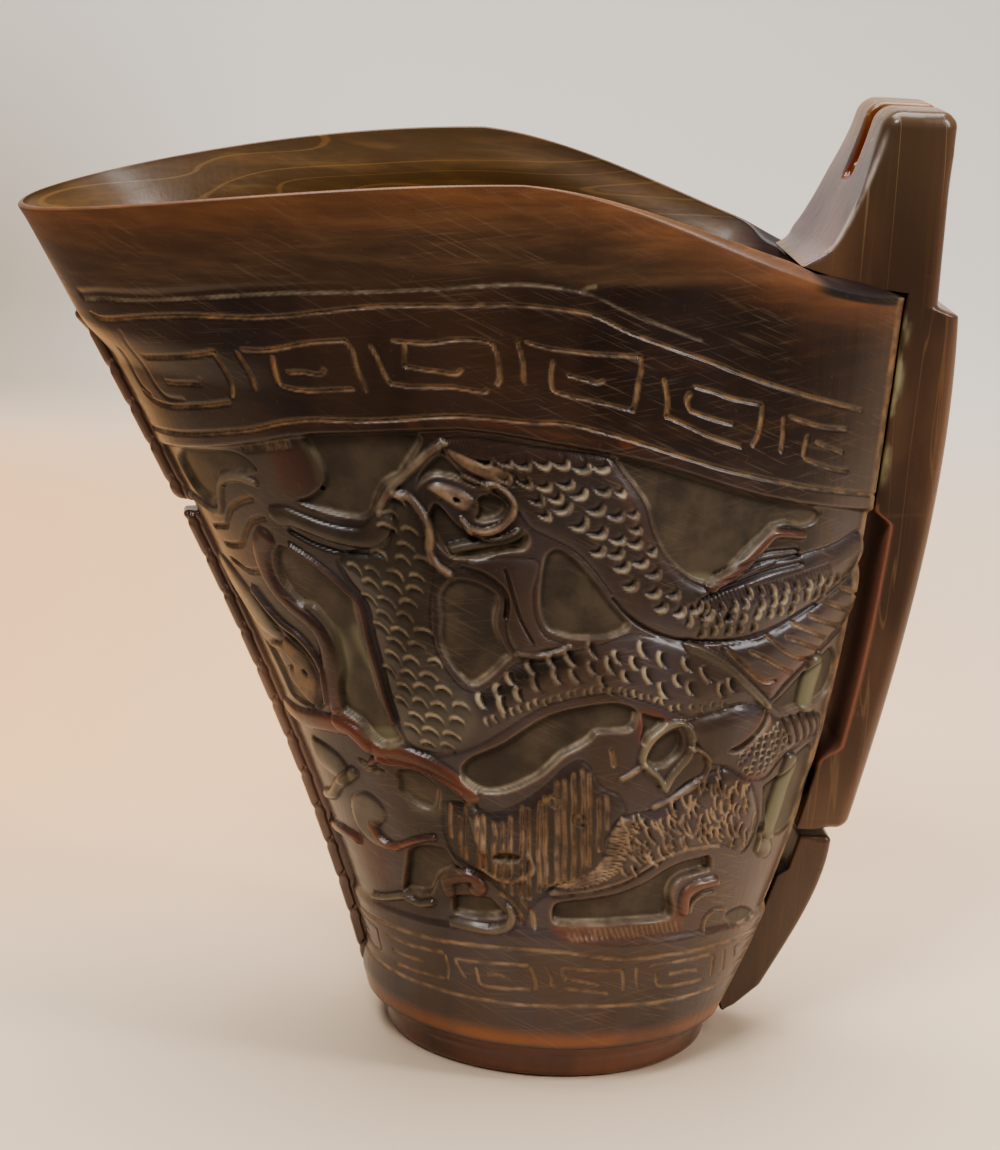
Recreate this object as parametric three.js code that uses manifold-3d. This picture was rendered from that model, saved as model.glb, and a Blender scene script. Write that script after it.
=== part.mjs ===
// Carved horn libation cup: an oval cup that leans forward into a wide pouring lip,
// with a handle board and forked ear behind it and toothed flanges down its front.
// Millimetres, +Z up, pouring lip towards -X, standing on its foot at Z = 0.
import * as THREE from 'three';
import { mergeVertices } from 'three/addons/utils/BufferGeometryUtils.js';
import Module from 'manifold-3d';

const wasm = await Module();
wasm.setup();

// Gap between two glued faces, and round a peg in its hole
const glueGap = 0.3;

// Foot and floor, with X and Y measured from the foot's own axis
const footLength = 48;
const footWidth = 43.2;
const footHeight = 5.7;
const floorThickness = 6;
const lipHeight = footHeight + glueGap;
const floorTop = lipHeight + floorThickness;

// Front edge's reach from the foot's axis, at the lip, at two pulls between, and at the spout
const frontReachAtLip = 27.2;
const frontLowerPull = 38.3;
const frontUpperPull = 58.7;
const frontReachAtSpout = 80.8;

// Seat of the handle behind the cup: its distance from the foot's axis, and its half width
const seatReachAtLip = 25.2;
const seatLowerPull = 41;
const seatUpperPull = 41.1;
const seatReachAtRim = 42.9;
const seatHalfWidthAtLip = 8;
const seatHalfWidthAtRim = 10.8;

// Half width of the cup across Y, at the lip, at two pulls between, and at the crest of the rim
const sideReachAtLip = 24.9;
const sideLowerPull = 33;
const sideUpperPull = 31.5;
const sideReachAtCrest = 33;

// How far the widest place moves forward, and how the back of the oval straightens upwards
const waistForward = 14;
const backRoundnessAtLip = 2;
const backRoundnessAtCrest = 1.35;
const seatCornerSoftness = 0.8;

// Rim: height at the spout, at its crest and at the handle, with the pulls between them
const spoutRimHeight = 120.6;
const spoutRimPull = 125.3;
const crestFrontPull = 129.6;
const crestHeight = 130.4;
const crestBackPull = 129.4;
const handleRimPull = 116;
const handleRimHeight = 114.9;
const crestForward = 14;

// Wall thickness at the floor and at the rim, and the thick wall behind the handle seat
const frontWallAtFloor = 5;
const frontWallAtRim = 2.2;
const sideWallAtFloor = 3.4;
const sideWallAtRim = 2;
const seatWallAtFloor = 5.2;
const seatWallAtRim = 13.4;
const innerBackHalfWidthAtFloor = 9;
const innerBackHalfWidthAtRim = 14;

// Front flanges, let into a groove down the nose of the cup
const flangeWidth = 4.6;
const flangeProud = 1.8;
const flangeDepth = 3.8;
const flangeWeb = 1.3;
const flangeTop = 106;
const flangeSplitTop = 79.4;
const flangeSplitBottom = 77.8;
const flangeBottom = 9;
const flangeFade = 6;
const toothPitch = 8.6;
const toothNotchRadius = 1.3;

// Carved hollows: their depth, the least wall behind them, and how far they stay from the handle
const hollowDepth = 1.8;
const hollowWeb = 0.6;
const hollowMargin = 2;

// Outlines of the hollows on one side of the cup. Each pair is a distance round the wall from
// the nose and a height. They are carved among the two dragons, the beasts and the hair.
const hollowOutlines = {
  clawPool: [[8, 86], [16, 89.4], [24, 90.6], [27, 88.4], [20.3, 86.8], [15.7, 82.1], [9, 82.5]],
  poolUnderBand: [
    [37.2, 94.7], [45, 96], [54, 96.3], [49, 90.5], [43.8, 86.5], [38.5, 83.6], [31.3, 85.1], [36.5, 88.5]],
  greenPool: [
    [24.7, 77.9], [31, 74.7], [33.5, 71.6], [32.2, 65], [31.1, 56.5], [32, 51.5], [28.5, 50.3],
    [23.6, 54.5], [26.4, 61.5], [27.2, 67], [22.5, 70.7], [22.4, 76]],
  kidneyPool: [
    [45.6, 61.6], [44, 66], [46.2, 72.5], [50, 76.7], [55.3, 74.9], [53.3, 69.8], [53.7, 66], [48.5, 62.3]],
  trianglePool: [[66, 81.8], [69.6, 78], [72.4, 71], [67, 68.8], [60.2, 70], [61.1, 75.5], [64, 80.6]],
  widePool: [
    [79.9, 93.9], [88, 92.1], [98, 88.3], [109, 84.5], [103, 83.4], [96, 80.8], [86, 76.1], [81.1, 82.5],
    [81, 90]],
  longPool: [
    [39.3, 47.8], [46.5, 53], [56, 58.1], [65, 59.7], [68.6, 58.3], [65.6, 55.1], [58, 52.9],
    [49.4, 47.8], [42, 45.5]],
  beastMouth: [[49.9, 84.5], [52, 87.1], [55.5, 82.9], [62.6, 84.6], [61.8, 81.3], [54, 79.5], [50, 80.8]],
  beastCheek: [[67, 50.6], [71.6, 54.7], [74, 54.3], [70.9, 50.2], [68, 49.6]],
  roundPool: [[28.5, 45.4], [32, 47.5], [35.3, 45.1], [32.5, 41.4], [28.7, 43]],
  lowLeftPool: [[21.6, 27.2], [26.2, 34.8], [32.4, 36.1], [34.8, 33.3], [29.2, 30.7], [26.7, 27.9]],
  lowMiddlePool: [[29.9, 25.9], [31.5, 29], [36.5, 29.5], [38.3, 27.1], [34, 25.7]],
  lowRightPool: [
    [44.6, 26.6], [48.5, 29.9], [58, 31.5], [64, 33.9], [72, 35.2], [71.7, 32.7], [65.1, 31.1],
    [63.5, 27], [54, 25.6]],
  backPool: [[81.6, 36.4], [84.2, 42], [88, 45.5], [94, 48.3], [97, 39], [87, 35]],
  finPool: [[90.5, 57], [99, 61.4], [104, 62], [103, 58], [92, 55.3]],
};

// Ear of the handle: how far it reaches over the cup from the seat, and how far behind the seat
const earTopHeight = 140;
const earOverCupAtRoot = 12.7;
const earOverCupAtSwell = 9.3;
const earOverCupAtTop = 4.9;
const earDepth = 5.2;
const earDepthAtTop = 4.3;
const earTopRounding = 2.2;
const earSlitWidth = 1.5;
const earSlitDepthFront = 8.6;
const earSlitDepthBack = 3.2;

// Handle board: its depth behind the seat at the ledge, at two pulls between, and at the bottom
const ledgeHeight = 111.8;
const boardDepthAtLedge = 8.4;
const boardUpperPull = 11.4;
const boardLowerPull = 7.3;
const boardDepthAtBottom = 7.8;
const boardBottom = 33.8;
const boardBottomRounding = 3;
const boardHalfWidthAtTop = 10.8;
const boardHalfWidthAtBottom = 7;
const earBackNarrowing = 0.2;
const slotTop = 83.5;
const slotBottom = 44.5;
const slotWidth = 2.6;

// Lower tab of the handle, with its depth behind the seat
const tabTop = 32.4;
const tabDepthAtTop = 6.3;
const tabUpperPull = 8.3;
const tabLowerPull = 5.6;
const tabDepthAtBottom = 5.2;
const tabToeHeight = 4.2;
const tabToeDepth = 1.8;
const tabHalfWidth = 6;
const tabSlotBottom = 26;
const tabSlotWidth = 1.3;

// Pegs through the handle seat
const pegRadius = 2;
const pegLength = 9;
const tabPegRadius = 1.5;
const tabPegLength = 7;
const upperPegHeight = 105;
const middlePegHeight = 90;
const lowerPegHeight = 39.5;
const tabPegHeight = 17;

// Faces round the oval, levels up its wall and steps along a curved edge
const ovalSteps = 64;
const outerLevels = 20;
const innerLevels = 12;
const edgeSteps = 12;
const pegSides = 20;

// Steps of the walk round the wall that finds a carved point, and how far a carving tool is made
// to reach out of the wall and into it
const walkSteps = 720;
const toolReach = 6;

// A smooth curve through its two end values, drawn towards two pulls between them
function pulled(value, from, to, start, pullA, pullB, end) {
  const t = THREE.MathUtils.clamp((value - from) / (to - from), -0.05, 1.1);
  const s = 1 - t;
  return s ** 3 * start + 3 * s * s * t * pullA + 3 * s * t * t * pullB + t ** 3 * end;
}

function between(z, atFloor, atRim) {
  return THREE.MathUtils.mapLinear(z, lipHeight, crestHeight, atFloor, atRim);
}

function frontReach(z) {
  return pulled(
    z, lipHeight, spoutRimHeight, frontReachAtLip, frontLowerPull, frontUpperPull, frontReachAtSpout);
}

function seatReach(z) {
  return pulled(z, lipHeight, handleRimHeight, seatReachAtLip, seatLowerPull, seatUpperPull, seatReachAtRim);
}

function sideReach(z) {
  return pulled(z, lipHeight, crestHeight, sideReachAtLip, sideLowerPull, sideUpperPull, sideReachAtCrest);
}

function rimHeight(x) {
  const crestX = -crestForward;
  if (x < crestX) {
    return pulled(x, -frontReachAtSpout, crestX, spoutRimHeight, spoutRimPull, crestFrontPull, crestHeight);
  }
  return pulled(x, crestX, seatReachAtRim, crestHeight, crestBackPull, handleRimPull, handleRimHeight);
}

// The nose of the cup lies back behind the flanges, and comes out to their edge at both ends
function noseSetBack(z) {
  const below = THREE.MathUtils.smoothstep(z, flangeBottom, flangeBottom + flangeFade);
  const above = 1 - THREE.MathUtils.smoothstep(z, flangeTop - flangeFade, flangeTop);
  return flangeProud * below * above;
}

// One point of an oval section: an ellipse in front, a straighter curve behind, and a flat
// seat that stops it at the back. turn runs from 0 at the nose right round to 1.
function ovalPoint(turn, z, front, side, back, backHalfWidth) {
  const angle = turn * 2 * Math.PI;
  const middle = between(z, 0, -waistForward);
  const across = Math.sin(angle);
  const along = Math.cos(angle);
  if (along >= 0) {
    return new THREE.Vector2(middle - (front + middle) * along, side * across);
  }
  const roundness = between(z, backRoundnessAtLip, backRoundnessAtCrest);
  const corner = (1 - (backHalfWidth / side) ** roundness) ** (1 / roundness);
  const fullBack = (back - middle) / corner;
  const share = (1 - Math.abs(across) ** roundness) ** (1 / roundness);
  const x = middle + fullBack * share;
  const past = (x - back) / seatCornerSoftness;
  const held = Math.log1p(Math.exp(-Math.abs(past))) + Math.max(past, 0);
  return new THREE.Vector2(x - held * seatCornerSoftness, side * across);
}

function outerPoint(turn, z) {
  const seatHalfWidth = between(z, seatHalfWidthAtLip, seatHalfWidthAtRim);
  return ovalPoint(turn, z, frontReach(z) - noseSetBack(z), sideReach(z), seatReach(z), seatHalfWidth);
}

function frontWall(z) {
  return between(z, frontWallAtFloor, frontWallAtRim);
}

function sideWall(z) {
  return between(z, sideWallAtFloor, sideWallAtRim);
}

function innerPoint(turn, z) {
  const level = Math.max(z, floorTop);
  const front = frontReach(level) - noseSetBack(level) - frontWall(level);
  const side = sideReach(level) - sideWall(level);
  const back = between(level, seatReachAtLip - seatWallAtFloor, seatReachAtRim - seatWallAtRim);
  const halfWidth = between(level, innerBackHalfWidthAtFloor, innerBackHalfWidthAtRim);
  return ovalPoint(turn, level, front, side, back, halfWidth);
}

// Height at which the wall at one turn reaches the rim
function rimLevel(pointAt, turn) {
  let z = crestHeight;
  for (let pass = 0; pass < 12; pass++) {
    z = rimHeight(pointAt(turn, z).x);
  }
  return z;
}

function ovalRing(pointAt, heightAt) {
  const ring = [];
  for (let i = 0; i < ovalSteps; i++) {
    const turn = i / ovalSteps;
    const z = heightAt(turn);
    const point = pointAt(turn, z);
    ring.push(new THREE.Vector3(point.x, point.y, z));
  }
  return ring;
}

function signedVolume(positions, index) {
  const corners = [new THREE.Vector3(), new THREE.Vector3(), new THREE.Vector3()];
  let volume = 0;
  for (let i = 0; i < index.length; i += 3) {
    corners.forEach((corner, k) => corner.fromArray(positions, index[i + k] * 3));
    volume += corners[0].dot(corners[1].clone().cross(corners[2])) / 6;
  }
  return volume;
}

function closedGeometry(positions, index) {
  if (signedVolume(positions, index) < 0) {
    for (let i = 0; i < index.length; i += 3) {
      [index[i], index[i + 1]] = [index[i + 1], index[i]];
    }
  }
  const geometry = new THREE.BufferGeometry();
  geometry.setAttribute('position', new THREE.Float32BufferAttribute(positions, 3));
  geometry.setIndex(index);
  return geometry;
}

// Skin over a stack of rings: joined last to first, or closed by a fan at each end
function ringSkin(rings, joinsUp) {
  const around = rings[0].length;
  const positions = rings.flat().flatMap((point) => point.toArray());
  const index = [];
  const bands = joinsUp ? rings.length : rings.length - 1;
  for (let j = 0; j < bands; j++) {
    const next = (j + 1) % rings.length;
    for (let i = 0; i < around; i++) {
      const right = (i + 1) % around;
      const a = j * around + i;
      const b = j * around + right;
      const c = next * around + right;
      const d = next * around + i;
      index.push(a, b, c, a, c, d);
    }
  }
  if (!joinsUp) {
    for (const end of [0, rings.length - 1]) {
      const centre = new THREE.Vector3();
      rings[end].forEach((point) => centre.addScaledVector(point, 1 / around));
      const hub = positions.length / 3;
      positions.push(centre.x, centre.y, centre.z);
      for (let i = 0; i < around; i++) {
        const a = end * around + i;
        const b = end * around + ((i + 1) % around);
        index.push(...(end === 0 ? [b, a, hub] : [a, b, hub]));
      }
    }
  }
  return closedGeometry(positions, index);
}

function solidFrom(geometry) {
  const bare = geometry.clone();
  bare.deleteAttribute('normal');
  bare.deleteAttribute('uv');
  const merged = mergeVertices(bare, 1e-4);
  const mesh = new wasm.Mesh({
    numProp: 3,
    vertProperties: new Float32Array(merged.attributes.position.array),
    triVerts: new Uint32Array(merged.index.array),
  });
  return new wasm.Manifold(mesh);
}

function geometryFrom(solid) {
  const mesh = solid.getMesh();
  const geometry = new THREE.BufferGeometry();
  geometry.setAttribute('position', new THREE.BufferAttribute(new Float32Array(mesh.vertProperties), 3));
  geometry.setIndex(new THREE.BufferAttribute(new Uint32Array(mesh.triVerts), 1));
  return geometry;
}

// A side outline, drawn with X along the cup and Z up, given its width across Y.
// halfWidthAt gives the half width at each point of the outline.
function sidePlate(outline, halfWidthAt) {
  const plate = new THREE.ExtrudeGeometry(new THREE.Shape(outline), { depth: 2, bevelEnabled: false });
  plate.rotateX(Math.PI / 2);
  plate.translate(0, 1, 0);
  const position = plate.attributes.position;
  for (let i = 0; i < position.count; i++) {
    const half = halfWidthAt(position.getX(i), position.getZ(i));
    position.setY(i, position.getY(i) * half);
  }
  return plate;
}

// Points up or down an edge whose distance from the foot's axis depends on height
function edgeUp(reachAt, from, to, steps = edgeSteps) {
  const points = [];
  for (let i = 0; i <= steps; i++) {
    const z = THREE.MathUtils.lerp(from, to, i / steps);
    points.push(new THREE.Vector2(reachAt(z), z));
  }
  return points;
}

function arc(x, z, radius, fromDegrees, toDegrees, steps = 4) {
  const points = [];
  for (let i = 0; i <= steps; i++) {
    const angle = THREE.MathUtils.degToRad(THREE.MathUtils.lerp(fromDegrees, toDegrees, i / steps));
    points.push(new THREE.Vector2(x + radius * Math.cos(angle), z + radius * Math.sin(angle)));
  }
  return points;
}

// Flange: its outer edge follows the cup's front line, its inner edge lies in the groove,
// which leaves a web of the wall behind it
function flangeOutline(bottom, top, grow) {
  const depth = (z) => Math.min(flangeDepth, noseSetBack(z) + frontWall(z) - flangeWeb);
  const outer = (z) => -frontReach(z) - grow;
  const inner = (z) => -frontReach(z) + depth(z) + grow;
  const down = edgeUp(outer, top + grow, bottom - grow);
  const up = edgeUp(inner, bottom - grow, top + grow);
  return [...down, ...up];
}

function flangeGeometry(bottom, top) {
  let solid = solidFrom(sidePlate(flangeOutline(bottom, top, 0), () => flangeWidth / 2));
  const teeth = Math.floor((top - bottom) / toothPitch);
  for (let i = 0; i < teeth; i++) {
    const z = top - (i + 0.5) * toothPitch;
    const notch = new THREE.CylinderGeometry(toothNotchRadius, toothNotchRadius, flangeWidth * 2, 10);
    notch.translate(-frontReach(z), 0, z);
    solid = solid.subtract(solidFrom(notch));
  }
  return geometryFrom(solid);
}

function flangeGroove(bottom, top) {
  return solidFrom(sidePlate(flangeOutline(bottom, top, glueGap), () => flangeWidth / 2 + glueGap));
}

// Peg across the handle seat at one height, half in the cup and half in the handle
function pegGeometry(z, radius, length, grow) {
  const peg = new THREE.CylinderGeometry(radius + grow, radius + grow, length + 2 * grow, pegSides);
  peg.rotateZ(Math.PI / 2);
  peg.translate(seatReach(z), 0, z);
  return peg;
}

function pegHole(z, radius, length) {
  return solidFrom(pegGeometry(z, radius, length, glueGap));
}

function boardHalfWidth(z) {
  return THREE.MathUtils.mapLinear(
    z, boardBottom, ledgeHeight, boardHalfWidthAtBottom, boardHalfWidthAtTop);
}

// Turn at which the wall lies a given distance round from the nose, short of the handle
function turnAt(distance, z) {
  const edge = boardHalfWidth(z) + hollowMargin;
  let last = outerPoint(0, z);
  let left = distance;
  for (let i = 1; i <= walkSteps; i++) {
    const next = outerPoint(i / walkSteps / 2, z);
    const run = next.distanceTo(last);
    const atHandle = i > walkSteps / 2 && next.y < edge;
    if (left <= run || atHandle) {
      return (i - 1 + Math.min(left / run, 1)) / walkSteps / 2;
    }
    left -= run;
    last = next;
  }
  return 0.5;
}

// A point of the outer wall, moved straight out of it by a distance, or into it by a negative one
function offWall(turn, z, out) {
  const at = (t, level) => {
    const flat = outerPoint(t, level);
    return new THREE.Vector3(flat.x, flat.y, level);
  };
  const point = at(turn, z);
  const round = at(turn + 0.001, z).sub(at(turn - 0.001, z));
  const up = at(turn, z + 0.1).sub(at(turn, z - 0.1));
  const normal = round.cross(up).normalize();
  const middle = new THREE.Vector3(between(z, 0, -waistForward), 0, z);
  if (normal.dot(point.clone().sub(middle)) < 0) {
    normal.negate();
  }
  return point.addScaledVector(normal, out);
}

// A carving tool with the outline of one hollow, on one side of the cup: 1 for +Y and -1 for -Y
function hollowTool(outline, side) {
  const corners = outline.map(([distance, z]) => new THREE.Vector3(distance, z, 0));
  const curve = new THREE.CatmullRomCurve3(corners, true);
  const places = curve.getPoints(outline.length * 2).slice(0, -1);
  const count = places.length;
  const positions = [];
  for (const out of [toolReach, -toolReach]) {
    for (const place of places) {
      const point = offWall(turnAt(place.x, place.y), place.y, out);
      positions.push(point.x, point.y * side, point.z);
    }
  }
  const index = [];
  for (let i = 0; i < count; i++) {
    const next = (i + 1) % count;
    index.push(i, next, count + next, i, count + next, count + i);
  }
  const flat = places.map((place) => new THREE.Vector2(place.x, place.y));
  const clockwise = THREE.ShapeUtils.isClockWise(flat);
  for (const [a, b, c] of THREE.ShapeUtils.triangulateShape(flat, [])) {
    const cap = clockwise ? [a, b, c] : [a, c, b];
    index.push(...cap, count + cap[2], count + cap[1], count + cap[0]);
  }
  return solidFrom(closedGeometry(positions, index));
}

// Cuts every hollow into both sides of the cup, as far as a core that lies under its surface
function carveHollows(body, levels) {
  const depth = (z) => Math.min(hollowDepth, sideWall(z) - hollowWeb);
  const coreRings = levels.map((heightAt) => {
    const ring = [];
    for (let i = 0; i < ovalSteps; i++) {
      const z = heightAt(i / ovalSteps);
      ring.push(offWall(i / ovalSteps, z, -depth(z)));
    }
    return ring;
  });
  const core = solidFrom(ringSkin(coreRings, false));
  let carved = body;
  for (const outline of Object.values(hollowOutlines)) {
    for (const side of [1, -1]) {
      carved = carved.subtract(hollowTool(outline, side).subtract(core));
    }
  }
  return carved;
}

function cupBodyGeometry() {
  const rings = [];
  const levels = [];
  const outerRim = new Map();
  const innerRim = new Map();
  for (let i = 0; i < ovalSteps; i++) {
    outerRim.set(i / ovalSteps, rimLevel(outerPoint, i / ovalSteps));
    innerRim.set(i / ovalSteps, rimLevel(innerPoint, i / ovalSteps));
  }
  for (let j = 0; j <= outerLevels; j++) {
    const share = j / outerLevels;
    levels.push((turn) => THREE.MathUtils.lerp(lipHeight, outerRim.get(turn), share));
    rings.push(ovalRing(outerPoint, levels[j]));
  }
  for (let j = innerLevels; j >= 0; j--) {
    const share = j / innerLevels;
    rings.push(ovalRing(innerPoint, (turn) => THREE.MathUtils.lerp(floorTop, innerRim.get(turn), share)));
  }
  rings.push(ovalRing(innerPoint, () => lipHeight));
  return geometryFrom(
    carveHollows(solidFrom(ringSkin(rings, true)), levels)
      .subtract(flangeGroove(flangeSplitTop, flangeTop))
      .subtract(flangeGroove(flangeBottom, flangeSplitBottom))
      .subtract(pegHole(upperPegHeight, pegRadius, pegLength))
      .subtract(pegHole(middlePegHeight, pegRadius, pegLength))
      .subtract(pegHole(lowerPegHeight, pegRadius, pegLength))
      .subtract(pegHole(tabPegHeight, tabPegRadius, tabPegLength)),
  );
}

// Base block: the oval foot with a spigot above it that closes the bottom of the cup
function baseBlockGeometry() {
  const footPoint = (turn) => {
    const angle = turn * 2 * Math.PI;
    return new THREE.Vector2(-footLength / 2 * Math.cos(angle), footWidth / 2 * Math.sin(angle));
  };
  const spigotPoint = (turn) => {
    const edge = innerPoint(turn, floorTop);
    return edge.multiplyScalar(1 - glueGap / edge.length());
  };
  return ringSkin([
    ovalRing(footPoint, () => 0),
    ovalRing(footPoint, () => footHeight),
    ovalRing(spigotPoint, () => footHeight),
    ovalRing(spigotPoint, () => floorTop),
  ], false);
}

function handleBoardGeometry() {
  const seat = (z) => seatReach(z) + glueGap;
  const slot = (z) => seat(z) + slotWidth;
  const back = (z) => seatReach(z) + pulled(
    z, boardBottom, ledgeHeight, boardDepthAtBottom, boardLowerPull, boardUpperPull, boardDepthAtLedge);
  const earRoot = seatReachAtRim - earOverCupAtRoot;
  const earSwell = seatReachAtRim - earOverCupAtSwell;
  const earTop = seatReachAtRim - earOverCupAtTop;
  const earBack = seatReachAtRim + earDepth;
  const earTopBack = seatReachAtRim + earDepthAtTop;
  const innerRimHeight = rimHeight(seatReachAtRim - seatWallAtRim);
  const innerFace = (z) => pulled(
    z, rimHeight(earRoot), earTopHeight, earRoot, earSwell, earTop - 1.5, earTop);
  const underEar = [
    new THREE.Vector2(seatReachAtRim + glueGap, rimHeight(seatReachAtRim) + glueGap),
    new THREE.Vector2(earRoot, innerRimHeight + glueGap),
  ];
  const bottomCentre = boardBottom + boardBottomRounding;
  const outline = [
    ...edgeUp(seat, bottomCentre, slotBottom, 4),
    ...edgeUp(slot, slotBottom + slotWidth, slotTop - slotWidth, 8),
    ...edgeUp(seat, slotTop, handleRimHeight, 6),
    ...underEar,
    ...edgeUp(innerFace, innerRimHeight + 1.5, earTopHeight - 1, 8),
    new THREE.Vector2(earTop + 1, earTopHeight),
    ...arc(earTopBack - earTopRounding, earTopHeight - earTopRounding, earTopRounding, 90, 20),
    new THREE.Vector2(earBack, THREE.MathUtils.lerp(ledgeHeight, earTopHeight, 0.6)),
    new THREE.Vector2(earBack, ledgeHeight + 1.2),
    ...edgeUp(back, ledgeHeight, bottomCentre),
    ...arc(back(bottomCentre) - boardBottomRounding, bottomCentre, boardBottomRounding, -15, -90),
    new THREE.Vector2(seat(boardBottom) + 1.2, boardBottom),
  ];
  const halfWidthAt = (x, z) => {
    const half = boardHalfWidth(Math.min(z, ledgeHeight));
    return half - earBackNarrowing * Math.max(x - seatReachAtRim, 0);
  };
  const slitOutline = [
    new THREE.Vector2(earRoot, earTopHeight - earSlitDepthFront),
    new THREE.Vector2(earBack + 1, earTopHeight - earSlitDepthBack),
    new THREE.Vector2(earBack + 1, earTopHeight + 1),
    new THREE.Vector2(earRoot, earTopHeight + 1),
  ];
  return geometryFrom(
    solidFrom(sidePlate(outline, halfWidthAt))
      .subtract(solidFrom(sidePlate(slitOutline, () => earSlitWidth / 2)))
      .subtract(pegHole(upperPegHeight, pegRadius, pegLength))
      .subtract(pegHole(middlePegHeight, pegRadius, pegLength))
      .subtract(pegHole(lowerPegHeight, pegRadius, pegLength)),
  );
}

function handleTabGeometry() {
  const seat = (z) => seatReach(z) + glueGap;
  const slot = (z) => seat(z) + tabSlotWidth;
  const back = (z) => seatReach(z) + pulled(
    z, lipHeight, tabTop, tabDepthAtBottom, tabLowerPull, tabUpperPull, tabDepthAtTop);
  const toeReach = seatReachAtLip + tabToeDepth;
  const outline = [
    ...edgeUp(seat, lipHeight, tabSlotBottom, 5),
    ...edgeUp(slot, tabSlotBottom + tabSlotWidth, tabTop - 1, 3),
    new THREE.Vector2(slot(tabTop) + 1, tabTop),
    new THREE.Vector2(back(tabTop) - 1, tabTop),
    ...edgeUp(back, tabTop - 1, lipHeight + 2, 8),
    new THREE.Vector2(THREE.MathUtils.lerp(toeReach, back(lipHeight), 0.6), tabToeHeight + 2.2),
    new THREE.Vector2(toeReach, tabToeHeight),
    new THREE.Vector2(seat(lipHeight) + 0.6, tabToeHeight + 0.6),
  ];
  return geometryFrom(
    solidFrom(sidePlate(outline, () => tabHalfWidth))
      .subtract(pegHole(tabPegHeight, tabPegRadius, tabPegLength)),
  );
}

function horn(color, roughness) {
  return new THREE.MeshStandardMaterial({ color, roughness, metalness: 0 });
}

const cup = new THREE.Group();

function addPiece(name, geometry, material) {
  const mesh = new THREE.Mesh(geometry, material);
  mesh.name = name;
  cup.add(mesh);
}

const darkHorn = horn(0x3c2a1e, 0.3);
const redHorn = horn(0x6e3520, 0.35);
const paleHorn = horn(0x8a5f48, 0.4);
const pegHorn = horn(0x55402e, 0.5);

addPiece('cup_body', cupBodyGeometry(), darkHorn);
addPiece('base_block', baseBlockGeometry(), redHorn);
addPiece('handle_board', handleBoardGeometry(), darkHorn);
addPiece('handle_lower_tab', handleTabGeometry(), darkHorn);
addPiece('front_flange_upper', flangeGeometry(flangeSplitTop, flangeTop), paleHorn);
addPiece('front_flange_lower', flangeGeometry(flangeBottom, flangeSplitBottom), paleHorn);
addPiece('handle_peg_upper', pegGeometry(upperPegHeight, pegRadius, pegLength, 0), pegHorn);
addPiece('handle_peg_middle', pegGeometry(middlePegHeight, pegRadius, pegLength, 0), pegHorn);
addPiece('handle_peg_lower', pegGeometry(lowerPegHeight, pegRadius, pegLength, 0), pegHorn);
addPiece('tab_peg', pegGeometry(tabPegHeight, tabPegRadius, tabPegLength, 0), pegHorn);

// The origin lies on the floor under the middle of the whole cup's length
const reach = new THREE.Box3().setFromObject(cup);
cup.position.x = -(reach.min.x + reach.max.x) / 2;

export default cup;
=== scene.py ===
"""Looks of a carved horn libation cup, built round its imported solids."""

import math
import bmesh
import bpy
import numpy as np
from mathutils import Matrix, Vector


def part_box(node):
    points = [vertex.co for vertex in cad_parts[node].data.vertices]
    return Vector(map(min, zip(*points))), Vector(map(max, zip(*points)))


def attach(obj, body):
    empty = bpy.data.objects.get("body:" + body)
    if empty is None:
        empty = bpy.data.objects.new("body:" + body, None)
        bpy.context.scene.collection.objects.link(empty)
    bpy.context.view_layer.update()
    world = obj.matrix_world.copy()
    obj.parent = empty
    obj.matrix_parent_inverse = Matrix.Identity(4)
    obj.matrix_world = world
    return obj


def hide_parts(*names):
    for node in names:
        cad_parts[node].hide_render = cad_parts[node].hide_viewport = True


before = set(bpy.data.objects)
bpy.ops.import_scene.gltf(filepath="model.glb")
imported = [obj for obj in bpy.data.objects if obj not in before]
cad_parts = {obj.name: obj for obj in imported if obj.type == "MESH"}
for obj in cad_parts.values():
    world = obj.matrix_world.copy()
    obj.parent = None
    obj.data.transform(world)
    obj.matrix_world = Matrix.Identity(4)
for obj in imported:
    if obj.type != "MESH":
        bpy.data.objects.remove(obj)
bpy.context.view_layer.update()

# The cup's own sizes are in millimetres from the foot's axis, as the maker measures them
MM = 0.001
foot_low, foot_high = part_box("base_block")
FOOT_X = (foot_low.x + foot_high.x) / 2 / MM

LIP_HEIGHT = 6.0
FLOOR_TOP = 12.0
CREST_HEIGHT = 130.4
SPOUT_HEIGHT = 120.6
HANDLE_RIM_HEIGHT = 114.9
CREST_X = -14.0
SPOUT_REACH = 80.8
SEAT_REACH = 42.9
WAIST_FORWARD = 14.0
SEAT_CORNER = 0.45
GLUE_GAP = 0.3
RIM_THINNING = 0.6

# Lines of the cup: the four ordinates of each cubic curve, upwards or from the spout back
FRONT_LINE = (27.2, 38.3, 58.7, SPOUT_REACH)
SEAT_LINE = (25.2, 41.0, 41.1, SEAT_REACH)
SIDE_LINE = (24.9, 33.0, 31.5, 33.0)
RIM_TO_CREST = (SPOUT_HEIGHT, 125.3, 129.6, CREST_HEIGHT)
RIM_TO_HANDLE = (CREST_HEIGHT, 129.4, 116.0, HANDLE_RIM_HEIGHT)

# What changes evenly with height, given at the lip and at the crest
FRONT_WALL = (5.0, 2.2)
SIDE_WALL = (3.4, 2.0)
INSIDE_BACK = (20.0, 29.5)
INSIDE_BACK_HALF = (9.0, 14.0)
SEAT_HALF = (8.0, 10.8)
ROUNDNESS_BEHIND = (2.0, 1.35)

# The rim is thinned over its last millimetres, but not where the ear shelters it
THINNED_HEIGHT = 7.0
SHELTERED = (SEAT_REACH - 24, SEAT_REACH - 15)

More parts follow.
